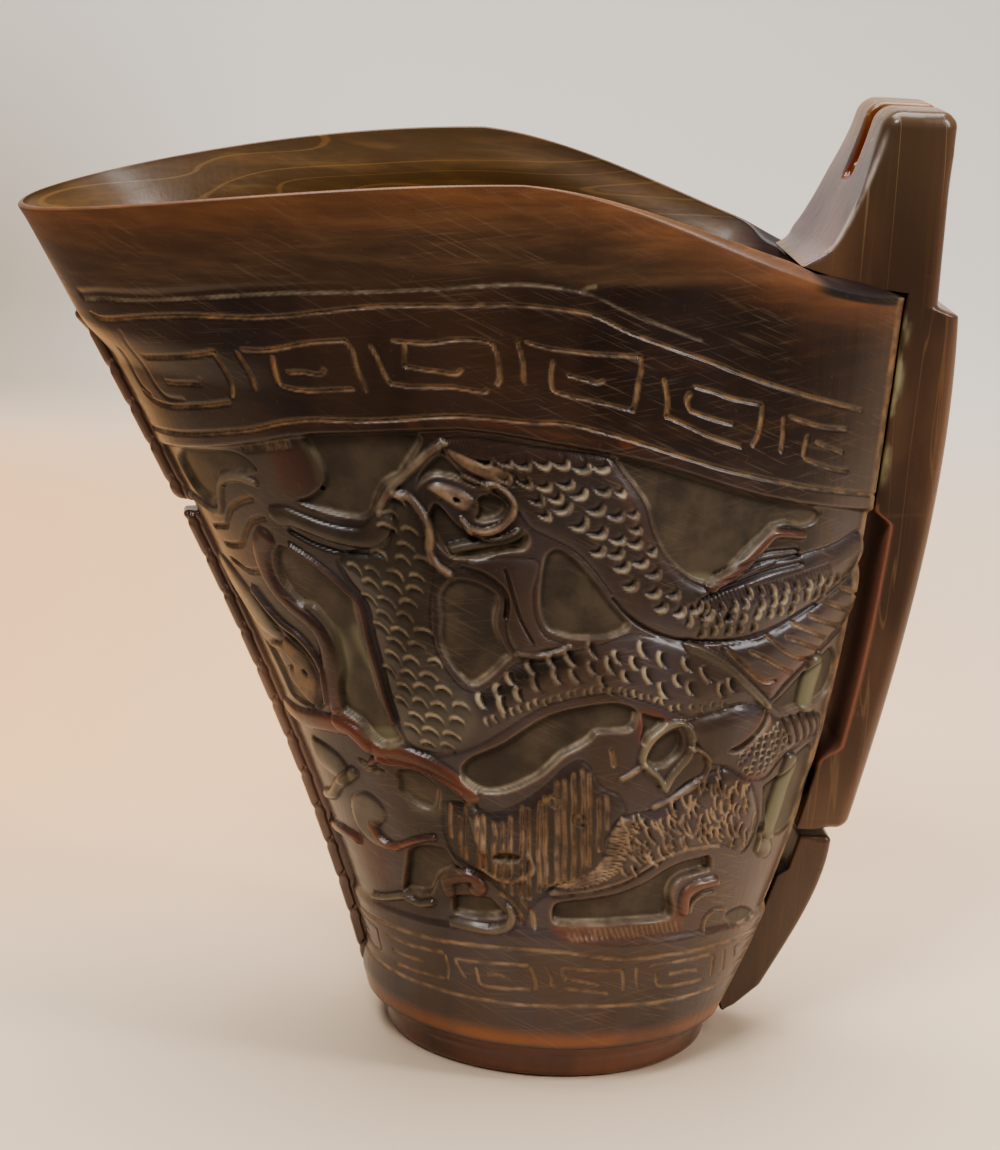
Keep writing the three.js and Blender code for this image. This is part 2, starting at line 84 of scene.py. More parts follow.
FLANGE_PROUD = 1.8
FLANGE_TOP = 106.0
FLANGE_SPLIT_TOP = 79.4
FLANGE_SPLIT_BOTTOM = 77.8
FLANGE_BOTTOM = 9.0
FLANGE_FADE = 6.0
FLANGE_HALF_WIDTH = 2.3
FLANGE_DEPTH = 3.8


def pulled(value, start, end, ordinates):
    """A cubic curve over start to end through its two end ordinates, drawn towards the two between."""
    t = np.clip((value - start) / (end - start), -0.05, 1.1)
    s = 1 - t
    a, b, c, d = ordinates
    return s**3 * a + 3 * s * s * t * b + 3 * s * t * t * c + t**3 * d


def smooth(value, start, end):
    """Rises from 0 at start to 1 at end along an even S curve."""
    t = np.clip((value - start) / (end - start), 0, 1)
    return t * t * (3 - 2 * t)


def span(value, start, full, last, end):
    """1 from full to last, rising to it from start and falling from it to end along S curves."""
    return smooth(value, start, full) * (1 - smooth(value, last, end))


def between(z, low, high):
    """A straight change with height, from low at the lip to high at the crest of the rim."""
    return low + (z - LIP_HEIGHT) / (CREST_HEIGHT - LIP_HEIGHT) * (high - low)


def front_reach(z):
    """How far the cup reaches forward: a cubic curve from the lip up to the spout's tip."""
    return pulled(z, LIP_HEIGHT, SPOUT_HEIGHT, FRONT_LINE)


def seat_reach(z):
    """How far the cup reaches back to the handle: a cubic curve from the lip up to the rim there."""
    return pulled(z, LIP_HEIGHT, HANDLE_RIM_HEIGHT, SEAT_LINE)


def side_reach(z):
    """Half the cup's width: a cubic curve from the lip up to the crest."""
    return pulled(z, LIP_HEIGHT, CREST_HEIGHT, SIDE_LINE)


def rim_height(x):
    """Height of the rim: one cubic curve from the spout up to the crest, another down to the handle."""
    front = pulled(x, -SPOUT_REACH, CREST_X, RIM_TO_CREST)
    back = pulled(x, CREST_X, SEAT_REACH, RIM_TO_HANDLE)
    return np.where(x < CREST_X, front, back)


def nose_set_back(z):
    """How far the nose lies back behind the flanges, fading out inside both of their ends."""
    below = smooth(z, FLANGE_BOTTOM, FLANGE_BOTTOM + FLANGE_FADE)
    above = 1 - smooth(z, FLANGE_TOP - FLANGE_FADE, FLANGE_TOP)
    return FLANGE_PROUD * below * above


def oval(turn, z, front, side, back, back_half):
    """Oval section: an ellipse in front, a flatter superellipse behind, held softly at the handle seat."""
    across = np.sin(turn * 2 * np.pi)
    along = np.cos(turn * 2 * np.pi)
    middle = between(z, 0, -WAIST_FORWARD)
    roundness = between(z, *ROUNDNESS_BEHIND)
    corner = (1 - (back_half / side) ** roundness) ** (1 / roundness)
    share = np.clip(1 - np.abs(across) ** roundness, 0, 1) ** (1 / roundness)
    behind = middle + (back - middle) / corner * share
    past = (behind - back) / SEAT_CORNER
    behind = behind - SEAT_CORNER * np.logaddexp(0, past)
    ahead = middle - (front + middle) * along
    return np.stack([np.where(along >= 0, ahead, behind), side * across, z + 0 * turn], -1)


def outer_wall(turn, z):
    """Outside of the wall: the oval section laid through the front, side and seat lines."""
    return oval(turn, z, front_reach(z) - nose_set_back(z), side_reach(z), seat_reach(z),
                between(z, *SEAT_HALF))


def inner_wall(turn, z):
    """Inside of the wall: the oval section set in by the wall's thickness, upright below the floor."""
    level = np.maximum(z, FLOOR_TOP)
    front = front_reach(level) - nose_set_back(level) - between(level, *FRONT_WALL)
    side = side_reach(level) - between(level, *SIDE_WALL)
    point = oval(turn, level, front, side, between(level, *INSIDE_BACK), between(level, *INSIDE_BACK_HALF))
    point[..., 2] = z
    return point


def thinned_wall(turn, z, top):
    """The inner wall, drawn out along an S curve to a thin edge, except under the handle's ear."""
    inner, outer = inner_wall(turn, z), outer_wall(turn, z)
    open_rim = 1 - smooth(inner[..., 0], *SHELTERED)
    share = RIM_THINNING * smooth(z, top - THINNED_HEIGHT, top) * open_rim
    inner[..., :2] += (outer - inner)[..., :2] * share[..., None]
    return inner


WALKS_TO_RIM = 14


def rim_level(wall, turn):
    """Height at which a wall reaches the rim, found by walking it up to the rim's own curve."""
    z = np.full_like(turn, CREST_HEIGHT)
    for _ in range(WALKS_TO_RIM):
        z = rim_height(wall(turn, z)[..., 0])
    return z


# Carving chart: a sheet laid round the wall, in millimetres round from the nose and up from the table.
# Marks give each finish's share of a cell: line is tan dust in a cut, ground a hollow's floor, cut its pale
# edge, partly a painted highlight on the lower edges of hollows, red, amber and pale are colours of the horn,
# though amber also paints a glow on the bead and pale a painted reflection over the left dragon's scales, the
# near-black mark is painted shade in scoops, crevices and under edges, and the last one is bare horn on an
# edge with a painted highlight.

CELLS_PER_MM = 6
CHART_ROUND = 128
CHART_HEIGHT = 132
PIECES_AT_ONCE = 8
MARKS = ("line", "ground", "cut", "red", "pale", "amber", "soot", "worn")


def flowing(points, closed=False, steps=4):
    """A smooth curve through its points: a Catmull-Rom spline."""
    p = np.asarray(points, float)
    if closed:
        p = np.concatenate([p[-1:], p, p[:2]])
    else:
        p = np.concatenate([2 * p[:1] - p[1:2], p, 2 * p[-1:] - p[-2:-1]])
    t = (np.arange(steps) / steps)[None, :, None]
    a, b, c, d = (p[k:len(p) - 3 + k][:, None] for k in range(4))
    curve = b + 0.5 * t * (c - a + t * (2 * a - 5 * b + 4 * c - d + t * (3 * (b - c) + d - a)))
    return np.concatenate([curve.reshape(-1, 2), p[-2:-1]])


class Chart:
    """Depth of the carving and share of each finish at every cell of the sheet."""

    def __init__(self):
        round_way = np.arange(CHART_ROUND * CELLS_PER_MM + 1) / CELLS_PER_MM
        up = np.arange(CHART_HEIGHT * CELLS_PER_MM + 1) / CELLS_PER_MM
        self.s, self.z = np.meshgrid(round_way, up)
        self.height = np.zeros_like(self.s)
        self.marks = {name: np.zeros_like(self.s) for name in MARKS}

    def window(self, curve, margin):
        """The block of cells round a curve."""
        low = np.floor((curve.min(0) - margin) * CELLS_PER_MM).astype(int)
        high = np.ceil((curve.max(0) + margin) * CELLS_PER_MM).astype(int) + 1
        low = np.clip(low, 0, self.s.shape[::-1])
        high = np.maximum(np.minimum(high, self.s.shape[::-1]), low)
        return slice(low[1], high[1]), slice(low[0], high[0])

    def distance(self, curve, margin):
        """Distance from each cell to a curve, as far as the margin, found from a few pieces at a time."""
        block = self.window(curve, margin)
        nearest = np.full(self.s[block].shape, 2.0 * margin)
        for first in range(0, len(curve) - 1, PIECES_AT_ONCE):
            run = curve[first:first + PIECES_AT_ONCE + 1]
            near = self.window(run, margin)
            here = np.stack([self.s[near], self.z[near]], -1)[..., None, :]
            step = np.diff(run, axis=0)
            along = ((here - run[:-1]) * step).sum(-1) / np.maximum((step * step).sum(-1), 1e-9)
            gap = here - run[:-1] - np.clip(along, 0, 1)[..., None] * step
            inner = tuple(slice(n.start - b.start, n.stop - b.start) for n, b in zip(near, block))
            nearest[inner] = np.minimum(nearest[inner], np.sqrt((gap * gap).sum(-1).min(-1)))
        return block, nearest

    def depth_inside(self, outline, margin):
        """Distance to a closed curve as far as the margin, positive inside it by the odd and even rule."""
        curve = flowing(outline, closed=True)
        block, distance = self.distance(curve, margin)
        flips = np.zeros(distance.shape)
        rows = self.z[block][:, 0]
        for (s1, z1), (s2, z2) in zip(curve[:-1], curve[1:]):
            crossed = np.nonzero((z1 > rows) != (z2 > rows))[0]
            at = s1 + (rows[crossed] - z1) / (z2 - z1 if z2 != z1 else 1) * (s2 - s1)
            column = np.ceil(at * CELLS_PER_MM).astype(int) - block[1].start
            kept = column < flips.shape[1]
            np.add.at(flips, (crossed[kept], np.maximum(column[kept], 0)), 1)
        inside = np.cumsum(flips, axis=1) % 2 == 1
        return block, np.where(inside, distance, -distance)

    def mark(self, name, block, share):
        """Raises a finish's share over a block of cells, where it was lower."""
        self.marks[name][block] = np.maximum(self.marks[name][block], share)

    def clear(self, block, share, names=("line", "cut", "red", "pale", "soot")):
        """Takes finishes off a block of cells, by a share."""
        for name in names:
            self.marks[name][block] *= 1 - share

    def engrave(self, points, width=0.55, depth=0.4, mark="line", share=1.0):
        """A cut along a curve, with dust or colour in it: it runs out to both sides along an S curve."""
        block, distance = self.distance(flowing(points), width * 1.5)
        profile = 1 - smooth(distance, 0, width * 0.75)
        self.height[block] -= depth * profile
        if mark:
            self.mark(mark, block, share * (1 - smooth(distance, width * 0.35, width * 0.75)))

    def rib(self, points, width, rise, mark=None, share=1.0):
        """A raised line along a curve, half an ellipse in section."""
        block, distance = self.distance(flowing(points), width)
        profile = np.sqrt(np.clip(1 - (distance / width * 2) ** 2, 0, 1))
        self.height[block] = np.maximum(self.height[block], self.height[block] + rise * profile)
        if mark:
            self.mark(mark, block, share * smooth(profile, 0.1, 0.7))

    def hollow(self, outline, depth=1.8, slope=0.5):
        """A sunk shape with a flat floor and a steep wall. Its edge is rubbed pale, with a painted highlight
        that is strongest on the lower edge, and at the foot of the wall lies painted shade along the upper
        side and a thin painted highlight along the lower side."""
        block, inside = self.depth_inside(outline, slope * 2.5)
        share = smooth(inside, 0, slope)
        upward = np.clip(np.gradient(inside, axis=0) * CELLS_PER_MM, -1, 1)
        self.clear(block, smooth(inside, -0.1, 0.2))
        self.height[block] += (np.minimum(-depth, self.height[block]) - self.height[block]) * share
        self.mark("ground", block, smooth(inside, slope * 0.2, slope * 0.8))
        # painted highlight: the pale edge and the line at the wall's foot are stronger where the wall faces
        # up, and painted shade lies where it faces down
        worn = span(inside, -0.15, 0.05, 0.1, 0.4)
        self.mark("cut", block, worn * (0.35 + 0.3 * upward))
        foot = np.exp(-((inside - slope * 1.15) / 0.2) ** 2)
        self.mark("cut", block, foot * smooth(upward, -0.5, 0.6))
        shadow = span(inside, 0.2, 0.5, slope, slope * 2.2)
        self.mark("soot", block, shadow * (0.45 - 0.45 * upward))

    def body(self, outline, low=-0.7, high=-0.1, roll=3.0, mark=None, share=1.0):
        """A shape that stands up from low at its edge to high, along a quarter ellipse as wide as roll."""
        block, inside = self.depth_inside(outline, roll)
        rise = np.sqrt(1 - (1 - np.clip(inside / roll, 0, 1)) ** 2)
        level = low + (high - low) * rise
        share_in = smooth(inside, -0.15, 0.15)
        self.height[block] += (level - self.height[block]) * share_in
        self.clear(block, share_in)
        self.marks["ground"][block] *= 1 - share_in
        if mark:
            self.mark(mark, block, share * smooth(inside, 0, 0.8))

    def age(self):
        """Painted shade in every crevice, and wear with a painted highlight on every edge, by how far each
        cell lies below or above the average of the cells round it."""
        around = self.height
        reach = int(0.6 * CELLS_PER_MM)
        for axis in (0, 1, 0, 1):
            margin = [(reach + 1, reach) if k == axis else (0, 0) for k in (0, 1)]
            total = np.pad(around, margin, mode="edge").cumsum(axis)
            count = total.shape[axis] - 2 * reach - 1
            around = (total.take(range(2 * reach + 1, 2 * reach + 1 + count), axis)
                      - total.take(range(count), axis)) / (2 * reach + 1)
        crevice = around - self.height
        dusty = np.maximum(self.marks["line"], self.marks["cut"])
        # painted shade, darkest in the deepest crevices
        dark = smooth(crevice, 0.05, 0.4) * (1 - dusty)
        self.marks["soot"] = np.maximum(self.marks["soot"], 0.85 * dark)
        # edge wear together with a painted highlight on every raised edge
        self.marks["worn"] = smooth(-crevice, 0.04, 0.3)

    def tint(self, outline, mark, share, soft=1.0):
        """Colour alone, over a shape, with a soft edge."""
        block, inside = self.depth_inside(outline, soft)
        self.mark(mark, block, share * smooth(inside, -soft, soft))

    def room(self, outline, reach=1.5):
        """A whole sheet of how far inside a closed curve each cell lies, as far as reach."""
        sheet = np.full(self.s.shape, -reach)
        block, inside = self.depth_inside(outline, reach)
        sheet[block] = inside
        return sheet

    def read(self, sheet, s, z):
        """A sheet's value at any place, straight between its four nearest cells."""
        x = np.clip(s * CELLS_PER_MM, 0, sheet.shape[1] - 1.001)
        y = np.clip(z * CELLS_PER_MM, 0, sheet.shape[0] - 1.001)
        column, row = x.astype(int), y.astype(int)
        fx, fy = x - column, y - row
        low = sheet[row, column] * (1 - fx) + sheet[row, column + 1] * fx
        high = sheet[row + 1, column] * (1 - fx) + sheet[row + 1, column + 1] * fx
        return low * (1 - fy) + high * fy


# Carving, region by region, from points on the chart. The dust generator gives the hand's unevenness.
# The bands' lines run from the nose round to the handle.

FIELD_DEPTH = 0.7
dust = np.random.default_rng(11)

BAND_LINE = [
    (0, 89.3), (5, 90.4), (10, 91.1), (15, 91.7), (20, 92.6), (25, 93.6), (30, 94.7), (35, 96.2),
    (40, 97.2), (45, 97.6), (50, 98.1), (55, 98.8), (60, 99.4), (65, 99.4), (70, 99.1), (75, 99),
    (80, 97.7), (85, 96), (90, 94.1), (95, 92.3), (100, 90.8), (105, 89.4), (110, 88.2), (122, 85.6)]
BEAD_LINE = [
    (0, 87.3), (5, 88.5), (10, 89.3), (15, 90.1), (20, 91.1), (25, 92.2), (30, 93.4), (35, 94.8),
    (40, 95.7), (45, 96.3), (50, 97), (55, 97.6), (60, 98.1), (65, 97.8), (70, 97.1), (75, 96.3),
    (80, 95.2), (85, 94), (90, 92.2), (95, 90.2), (100, 88.4), (105, 87.1), (110, 86), (122, 83.4)]
RIM_BAND_TOP = [
    (11, 109.1), (16, 110), (20, 110.4), (25, 111), (30, 111.8), (35, 112.6), (40, 113.4), (45, 114.1),
    (50, 114.6), (60, 115.5), (70, 116.6), (76, 117.2), (80, 117.4), (84, 117.1), (87, 116.6)]
RIM_BAND_LINE = [
    (11, 107.1), (13, 106.9), (16, 107.3), (20, 108.1), (25, 109), (30, 109.7), (35, 110.1), (40, 110.5),
    (45, 111.2), (50, 112.1), (55, 113), (60, 113.7), (65, 114), (70, 114.3), (76, 114.7), (80, 114.6),
    (85, 114), (87.5, 113.4), (91, 111.3), (96, 109.2), (101, 107.2), (105, 105.3), (110, 103),
    (115, 101), (122, 98.8)]
LOWER_BAND_TOP = [
    (0, 19.2), (8, 19.8), (15, 20.5), (20, 20.9), (25, 21.2), (30, 21.7), (35, 22), (40, 22.2),
    (43, 22.2), (46, 21.9), (50, 21.1), (53.5, 20.6), (60, 20.5), (70, 20.2), (92, 19.5)]
LOWER_BAND_FOOT = [
    (0, 12.4), (20, 12.9), (33, 13.1), (45, 13.3), (60, 12.7), (75, 12.5), (92, 12.3)]

# Fret motifs: each is a list of strokes, drawn one after another
UPPER_FRET = [
    [(17, 102.4), (20, 102.9), (25, 103.7), (28, 104.3), (31.6, 105.1)],
    [(31.5, 105), (30.8, 102.6), (30, 100.2), (29.3, 99)],
    [(28.3, 98.1), (25, 97.3), (20, 96.3), (16.5, 95.7), (14, 95.6), (12, 95.9), (10.8, 96.6)],
    [(18.3, 99.3), (20, 99.4), (22.5, 99.8), (24.5, 100), (25.3, 100.7)],
    [(35.2, 105.3), (34.8, 103.5), (34.2, 101.8), (33.6, 100.5)],
    [(36.2, 105.9), (39, 106.1), (42, 106.7), (45, 107.5), (48, 108.1), (51.8, 108.6)],
    [(51.8, 108.4), (52.1, 107.2), (51.6, 105.5), (50.8, 103.5), (50, 101.9)],
    [(40.2, 105.3), (39, 103.5), (38, 101.7), (39.3, 101.2), (42, 101.2), (45, 101.6), (48.3, 102)],
    [(40.8, 103.4), (43, 103.7), (45.3, 103.6), (46.6, 104.4)],
    [(54.9, 108), (55, 106.5), (54.8, 104.8), (54.3, 103.2)],
    [(54.3, 103.2), (57, 103), (60, 103.2), (63, 103.3), (66.4, 102.9), (67.3, 103.3)],
    [(58.3, 109), (60, 109), (63, 109), (66, 109.6), (69, 109.9), (71.5, 109.6)],
    [(71.5, 109.5), (71.5, 108), (71, 106.4), (70.2, 104.8), (69.2, 104)],
    [(59.7, 108.7), (59, 107.3), (58.2, 105.8)],
    [(58.2, 105.8), (60, 105.5), (62.5, 105.3), (64.5, 105.1), (65.7, 105.7)],
    [(75, 109.9), (74.7, 108), (74.2, 106.3), (73.2, 104.5)],
    [(76.3, 109.8), (78.5, 109.2), (81, 108.8), (85, 108.4), (91, 108.1)],
    [(91.2, 108), (90.3, 106), (88, 103.5), (86.5, 102), (85.2, 100.7)],
    [(85.2, 100.8), (83, 101.4), (80, 102.2), (77, 103), (76.3, 103.6), (77.3, 105.3), (78.6, 107.3)],
    [(79.8, 105.5), (81.5, 105), (83, 104.5), (84.2, 104.8)],
    [(93, 104.8), (91.5, 102.5), (89.6, 99.9)],
    [(89.6, 99.9), (92, 98.6), (95, 96.9), (99, 95.3)],
    [(95.3, 102.9), (94, 102), (93.5, 100.7), (94.7, 100), (97, 99.1), (99, 98.5)],
    [(96.8, 103.8), (99, 103), (101, 102), (104.8, 101)],
    [(105, 100.8), (104, 99), (102.5, 96.7), (101, 95.3)],
    [(107.6, 98.7), (106.6, 96.5), (105.2, 94.1)],
    [(108.9, 98.9), (111, 98), (114, 97), (118, 96.3)],
    [(110.7, 95.9), (109.5, 94.3), (108.9, 93), (110, 92.2), (113, 91), (116, 90.2)],
    [(112, 94.9), (114, 93.9), (116, 93)],
]
LOWER_FRET = [
    [(4, 18.2), (8, 18.3), (11.4, 18.5), (11.2, 16.5), (10.6, 14.6), (7, 14.3), (4, 14.2)],
    [(5, 16.2), (7.5, 16.3)],
    [(14.5, 18.5), (20, 18.8), (25.9, 19.4)],
    [(26.3, 19), (26, 17), (25.2, 15.2)],
    [(24.5, 15.1), (20, 14.7), (15, 14.3)],
    [(15, 16.4), (18, 16.5), (21.3, 16.8)],
    [(28.4, 16.2), (28, 17.5), (27.9, 18.8), (30, 19), (34, 19.4), (38.8, 19.7)],
    [(39.2, 19.3), (39.2, 17.5), (38.8, 15.9)],
    [(37.8, 15.8), (34, 15.5), (30.8, 15.5), (30.6, 16.7), (30.8, 18)],
    [(32.4, 17.4), (34, 17.6), (35.5, 17.2)],
    [(41.5, 19.5), (41.7, 18), (41.3, 16.8)],
    [(41.6, 16.6), (44, 16.1), (48.8, 15.3)],
    [(43.6, 17.6), (43.8, 19.4), (46, 19.3), (49, 19), (52.2, 18.9)],
    [(52.3, 19), (52, 17.5), (51.4, 15.7)],
    [(44, 17.8), (46, 17.3), (48, 16.8)],
    [(54.5, 18.9), (54, 17.3), (53.8, 15.9)],
    [(57.3, 17.6), (56.9, 16.2), (57.5, 15.4), (61, 15.1), (65, 14.9)],
    [(57, 19), (60, 19.1), (64, 19), (67.8, 18.8), (67.6, 17), (67, 15.2)],
    [(59.5, 17.2), (62, 17.2), (64.3, 16.9)],
    [(70.5, 18.8), (70.2, 17), (69.8, 15.2)],
    [(73, 16.8), (73.2, 18.7), (77, 18.6), (81.5, 18.4), (81, 16.6), (80.4, 14.9)],
    [(72.4, 15.2), (75, 15), (78, 14.8)],
    [(75.2, 16.9), (78, 16.8)],
]
SPOUT_SCOOPS = [
    (0.8, 0.14, [(16.2, 105.5), (15.2, 103), (15, 100), (15.4, 98), (16.8, 96.9), (20, 97.1)]),
    (0.9, 0.18, [(11.6, 102.5), (10.8, 100), (11, 97.7), (12.5, 96.6)]),
]


def cut_bands(chart):
    """Both fret bands, with the bead under the upper one and the field sunk between them."""
    level = np.interp(chart.s[0], *np.array(BEAD_LINE).T)
    foot = np.interp(chart.s[0], *np.array(LOWER_BAND_TOP).T) + 2.2
    chart.height -= FIELD_DEPTH * span(chart.z, foot - 0.4, foot + 1.2, level - 0.9, level - 0.1)
    for line, width, depth in ((BAND_LINE, 0.45, 0.45), (RIM_BAND_LINE, 0.42, 0.4),
                               (LOWER_BAND_TOP, 0.45, 0.3), (LOWER_BAND_FOOT, 0.4, 0.2)):
        chart.engrave(line, width, depth)
    chart.engrave([(s, z + 0.7) for s, z in RIM_BAND_TOP], 1.4, 0.22, None)
    # the pale line along the band's top is partly a painted highlight on its step
    chart.engrave(RIM_BAND_TOP, 0.32, 0.25, "cut", 0.75)
    chart.engrave([(87, 116.6), (88, 117.2), (89.2, 117.4)], 0.4, 0.2, "cut", 0.7)
    chart.engrave([(87, 116.6), (89, 115.8), (92, 114), (97, 111.7), (101, 110.1)], 0.35, 0.15, "cut", 0.45)
    # painted glow: amber over the bead, and two bright orange spots on it, stand in for light through the
    # thin horn
    block, bead = chart.distance(flowing([(s, z + 0.85) for s, z in BEAD_LINE]), 1.0)
    chart.mark("amber", block, 0.25 * (1 - smooth(bead, 0.1, 0.6)))
    for spot in ((53.8, 97.9), (81.6, 96.1)):
        block, gap = chart.distance(np.array([spot, (spot[0] + 0.8, spot[1])]), 2.0)
        chart.mark("amber", block, 0.9 * (1 - smooth(gap, 0.2, 0.9)))
    for stroke in UPPER_FRET:
        chart.engrave(stroke, 0.44, 0.4)
    for stroke in LOWER_FRET:
        chart.engrave(stroke, 0.36, 0.28, share=0.95)
    for width, depth, points in SPOUT_SCOOPS:
        chart.engrave(points, width, depth, None)


# Dragon bodies that stand up from the sunk field
RIGHT_DRAGON = [
    (56.5, 95.6), (60, 96.6), (65, 96.3), (70, 95.7), (75, 95.1), (79, 94.3), (80, 92), (80.9, 89.5),
    (81.3, 87), (80.9, 84), (81, 81.5), (81.9, 79.2), (83.5, 77), (86, 75.6), (89, 75.8), (93, 76.8),
    (98, 78), (104, 78.9), (110, 79.5), (117, 80.6), (118.5, 76.4), (112, 73.9), (103, 71), (98, 69.4),
    (94, 68.4), (90, 67.7), (86, 67.4), (82, 67.7), (78, 68.4), (75, 69.8), (73, 71.6), (71.8, 73.8),
    (71, 76.2), (70, 79), (68.5, 81.4), (66, 83), (63.8, 84.4), (62.8, 87), (60, 90.5), (57, 92.5)]
LEFT_DRAGON = [
    (34, 77.5), (38, 79.3), (42, 80), (45, 84), (47, 88), (49.2, 87.5), (49.4, 84), (48.2, 81),
    (48.3, 78.5), (47, 76), (45.6, 73.5), (44.3, 70.5), (43.5, 67.5), (43.4, 64.5), (44.6, 61.3),
    (46.8, 60.6), (49, 61.6), (51.3, 63.2), (53.6, 65.1), (57, 66), (62, 67.1), (67, 68.2), (72, 69.6),
    (76, 68.7), (80, 67.1), (83.5, 65), (86.5, 61.5), (89, 57.3), (86, 57.8), (82, 57.6), (77, 56.8),
    (73.5, 57.8), (70, 59.6), (66, 60.9), (61, 60.4), (56, 59.2), (52, 57.3), (48, 55), (44, 52.8),
    (40, 51.2), (36.5, 50.4), (33, 51.2), (32.6, 54), (32.9, 58), (33.6, 62), (34.2, 66), (35, 69.5),
    (35.2, 72), (34, 74.8)]
STEM = [
    (56.2, 80), (59.8, 80.3), (63, 80), (62.2, 78), (60.6, 75.6), (59.6, 73), (59.3, 71), (59.8, 69.2),
    (62, 68), (58, 66.8), (54.8, 66), (54.2, 68), (54.4, 70), (55.4, 72.4), (56, 74.6), (55, 76.5),
    (52, 77.9), (50.5, 78.4), (53, 79.3)]
FIN_FAN = [
    (84.5, 66.6), (88, 66.9), (92, 67.2), (96, 68.3), (100, 69.5), (104, 70.8), (110, 72.7), (118, 75.4),
    (118.5, 70), (106, 64.9), (101, 62.8), (97, 61.2), (93.5, 59.4), (90.5, 57.8), (88.4, 60.4),
    (86.4, 63.6)]
HAIR_PANEL = [
    (35.6, 43.8), (38.5, 43.9), (41.5, 42.9), (44, 43.6), (47, 45), (49.8, 46.7), (52.3, 48.4),
    (54.6, 50.2), (57.5, 51.4), (58.9, 50), (59.2, 47.6), (61.3, 46), (61.4, 43.4), (59.5, 41),
    (57, 39.6), (56.2, 37.6), (54.9, 35.4), (53, 33.8), (50.5, 32.4), (48, 31.2), (44.6, 30.4), (42, 28),
    (40.2, 25.5), (39.4, 29), (38, 32), (35, 33.8), (33.4, 35.6), (33.4, 39), (34.4, 41.8)]
MANE = [
    (45.5, 30.6), (47, 32.4), (51, 33.4), (54.6, 35.4), (56.6, 38), (58.6, 41.4), (61.4, 43), (65, 43.5),
    (68.4, 45), (72, 47), (76, 48.3), (79.5, 48.5), (82.5, 46.6), (83.3, 43), (82.8, 39.5), (81, 36.5),
    (78, 34.5), (74.5, 36.6), (70, 36.6), (66, 36.1), (61.5, 34.2), (58, 32.7), (54, 31.6), (49.5, 30.9)]
SNOUT = [
    (74.8, 55.5), (77, 56.6), (81, 57.2), (85, 57.8), (88.8, 56.6), (91, 54.8), (94, 54.6), (98, 54.3),
    (101, 53.2), (100, 50.2), (94, 49.3), (89.5, 47.8), (86, 45.8), (82.5, 46.2), (79, 48.6),
    (76.6, 49.4), (75.8, 52)]
FISH_HEAD = [
    (10.5, 60.8), (13, 61.8), (15.5, 62.3), (17, 63.4), (18.5, 62.6), (20, 61.5), (20.8, 60), (20.8, 58),
    (19.8, 56.3), (18.6, 54.5), (17.5, 53.5), (16.2, 53.8), (14.5, 55.3), (13.3, 57), (14.4, 58.4),
    (16, 59), (15.4, 60), (14, 60.7), (12, 60.3)]
PALE_NECK = [
    (4, 72.5), (8, 72.6), (11, 70.8), (13.5, 68.2), (15.4, 65.6), (16.8, 63.8), (15, 62.4), (12.5, 62.2),
    (9.5, 63), (7, 66), (4, 69)]
CURLED_LEAF = [
    (16, 35.6), (16.1, 38), (17.3, 40), (19.3, 41.3), (21.8, 42.1), (23.6, 41.2), (24.3, 39.8),
    (23.4, 38), (21.4, 36.9), (21.3, 35.8), (23, 34.9), (25, 34.9), (24, 33.7), (20.5, 33.4),
    (17.5, 33.9)]
BEAK = [
    (51.6, 89.3), (53.5, 90.1), (55.5, 89.8), (57, 89.2), (57.9, 88), (57, 86.9), (55.7, 86),
    (54.6, 86.6), (53.4, 87.5), (52.2, 88.4)]
CREST_TUFT = [
    (56.8, 94.8), (59, 94.4), (61, 93.4), (63.4, 92.9), (65, 91.8), (64.2, 90.3), (62, 90.1),
    (60.3, 90.9), (58.6, 91.7), (57.3, 93)]

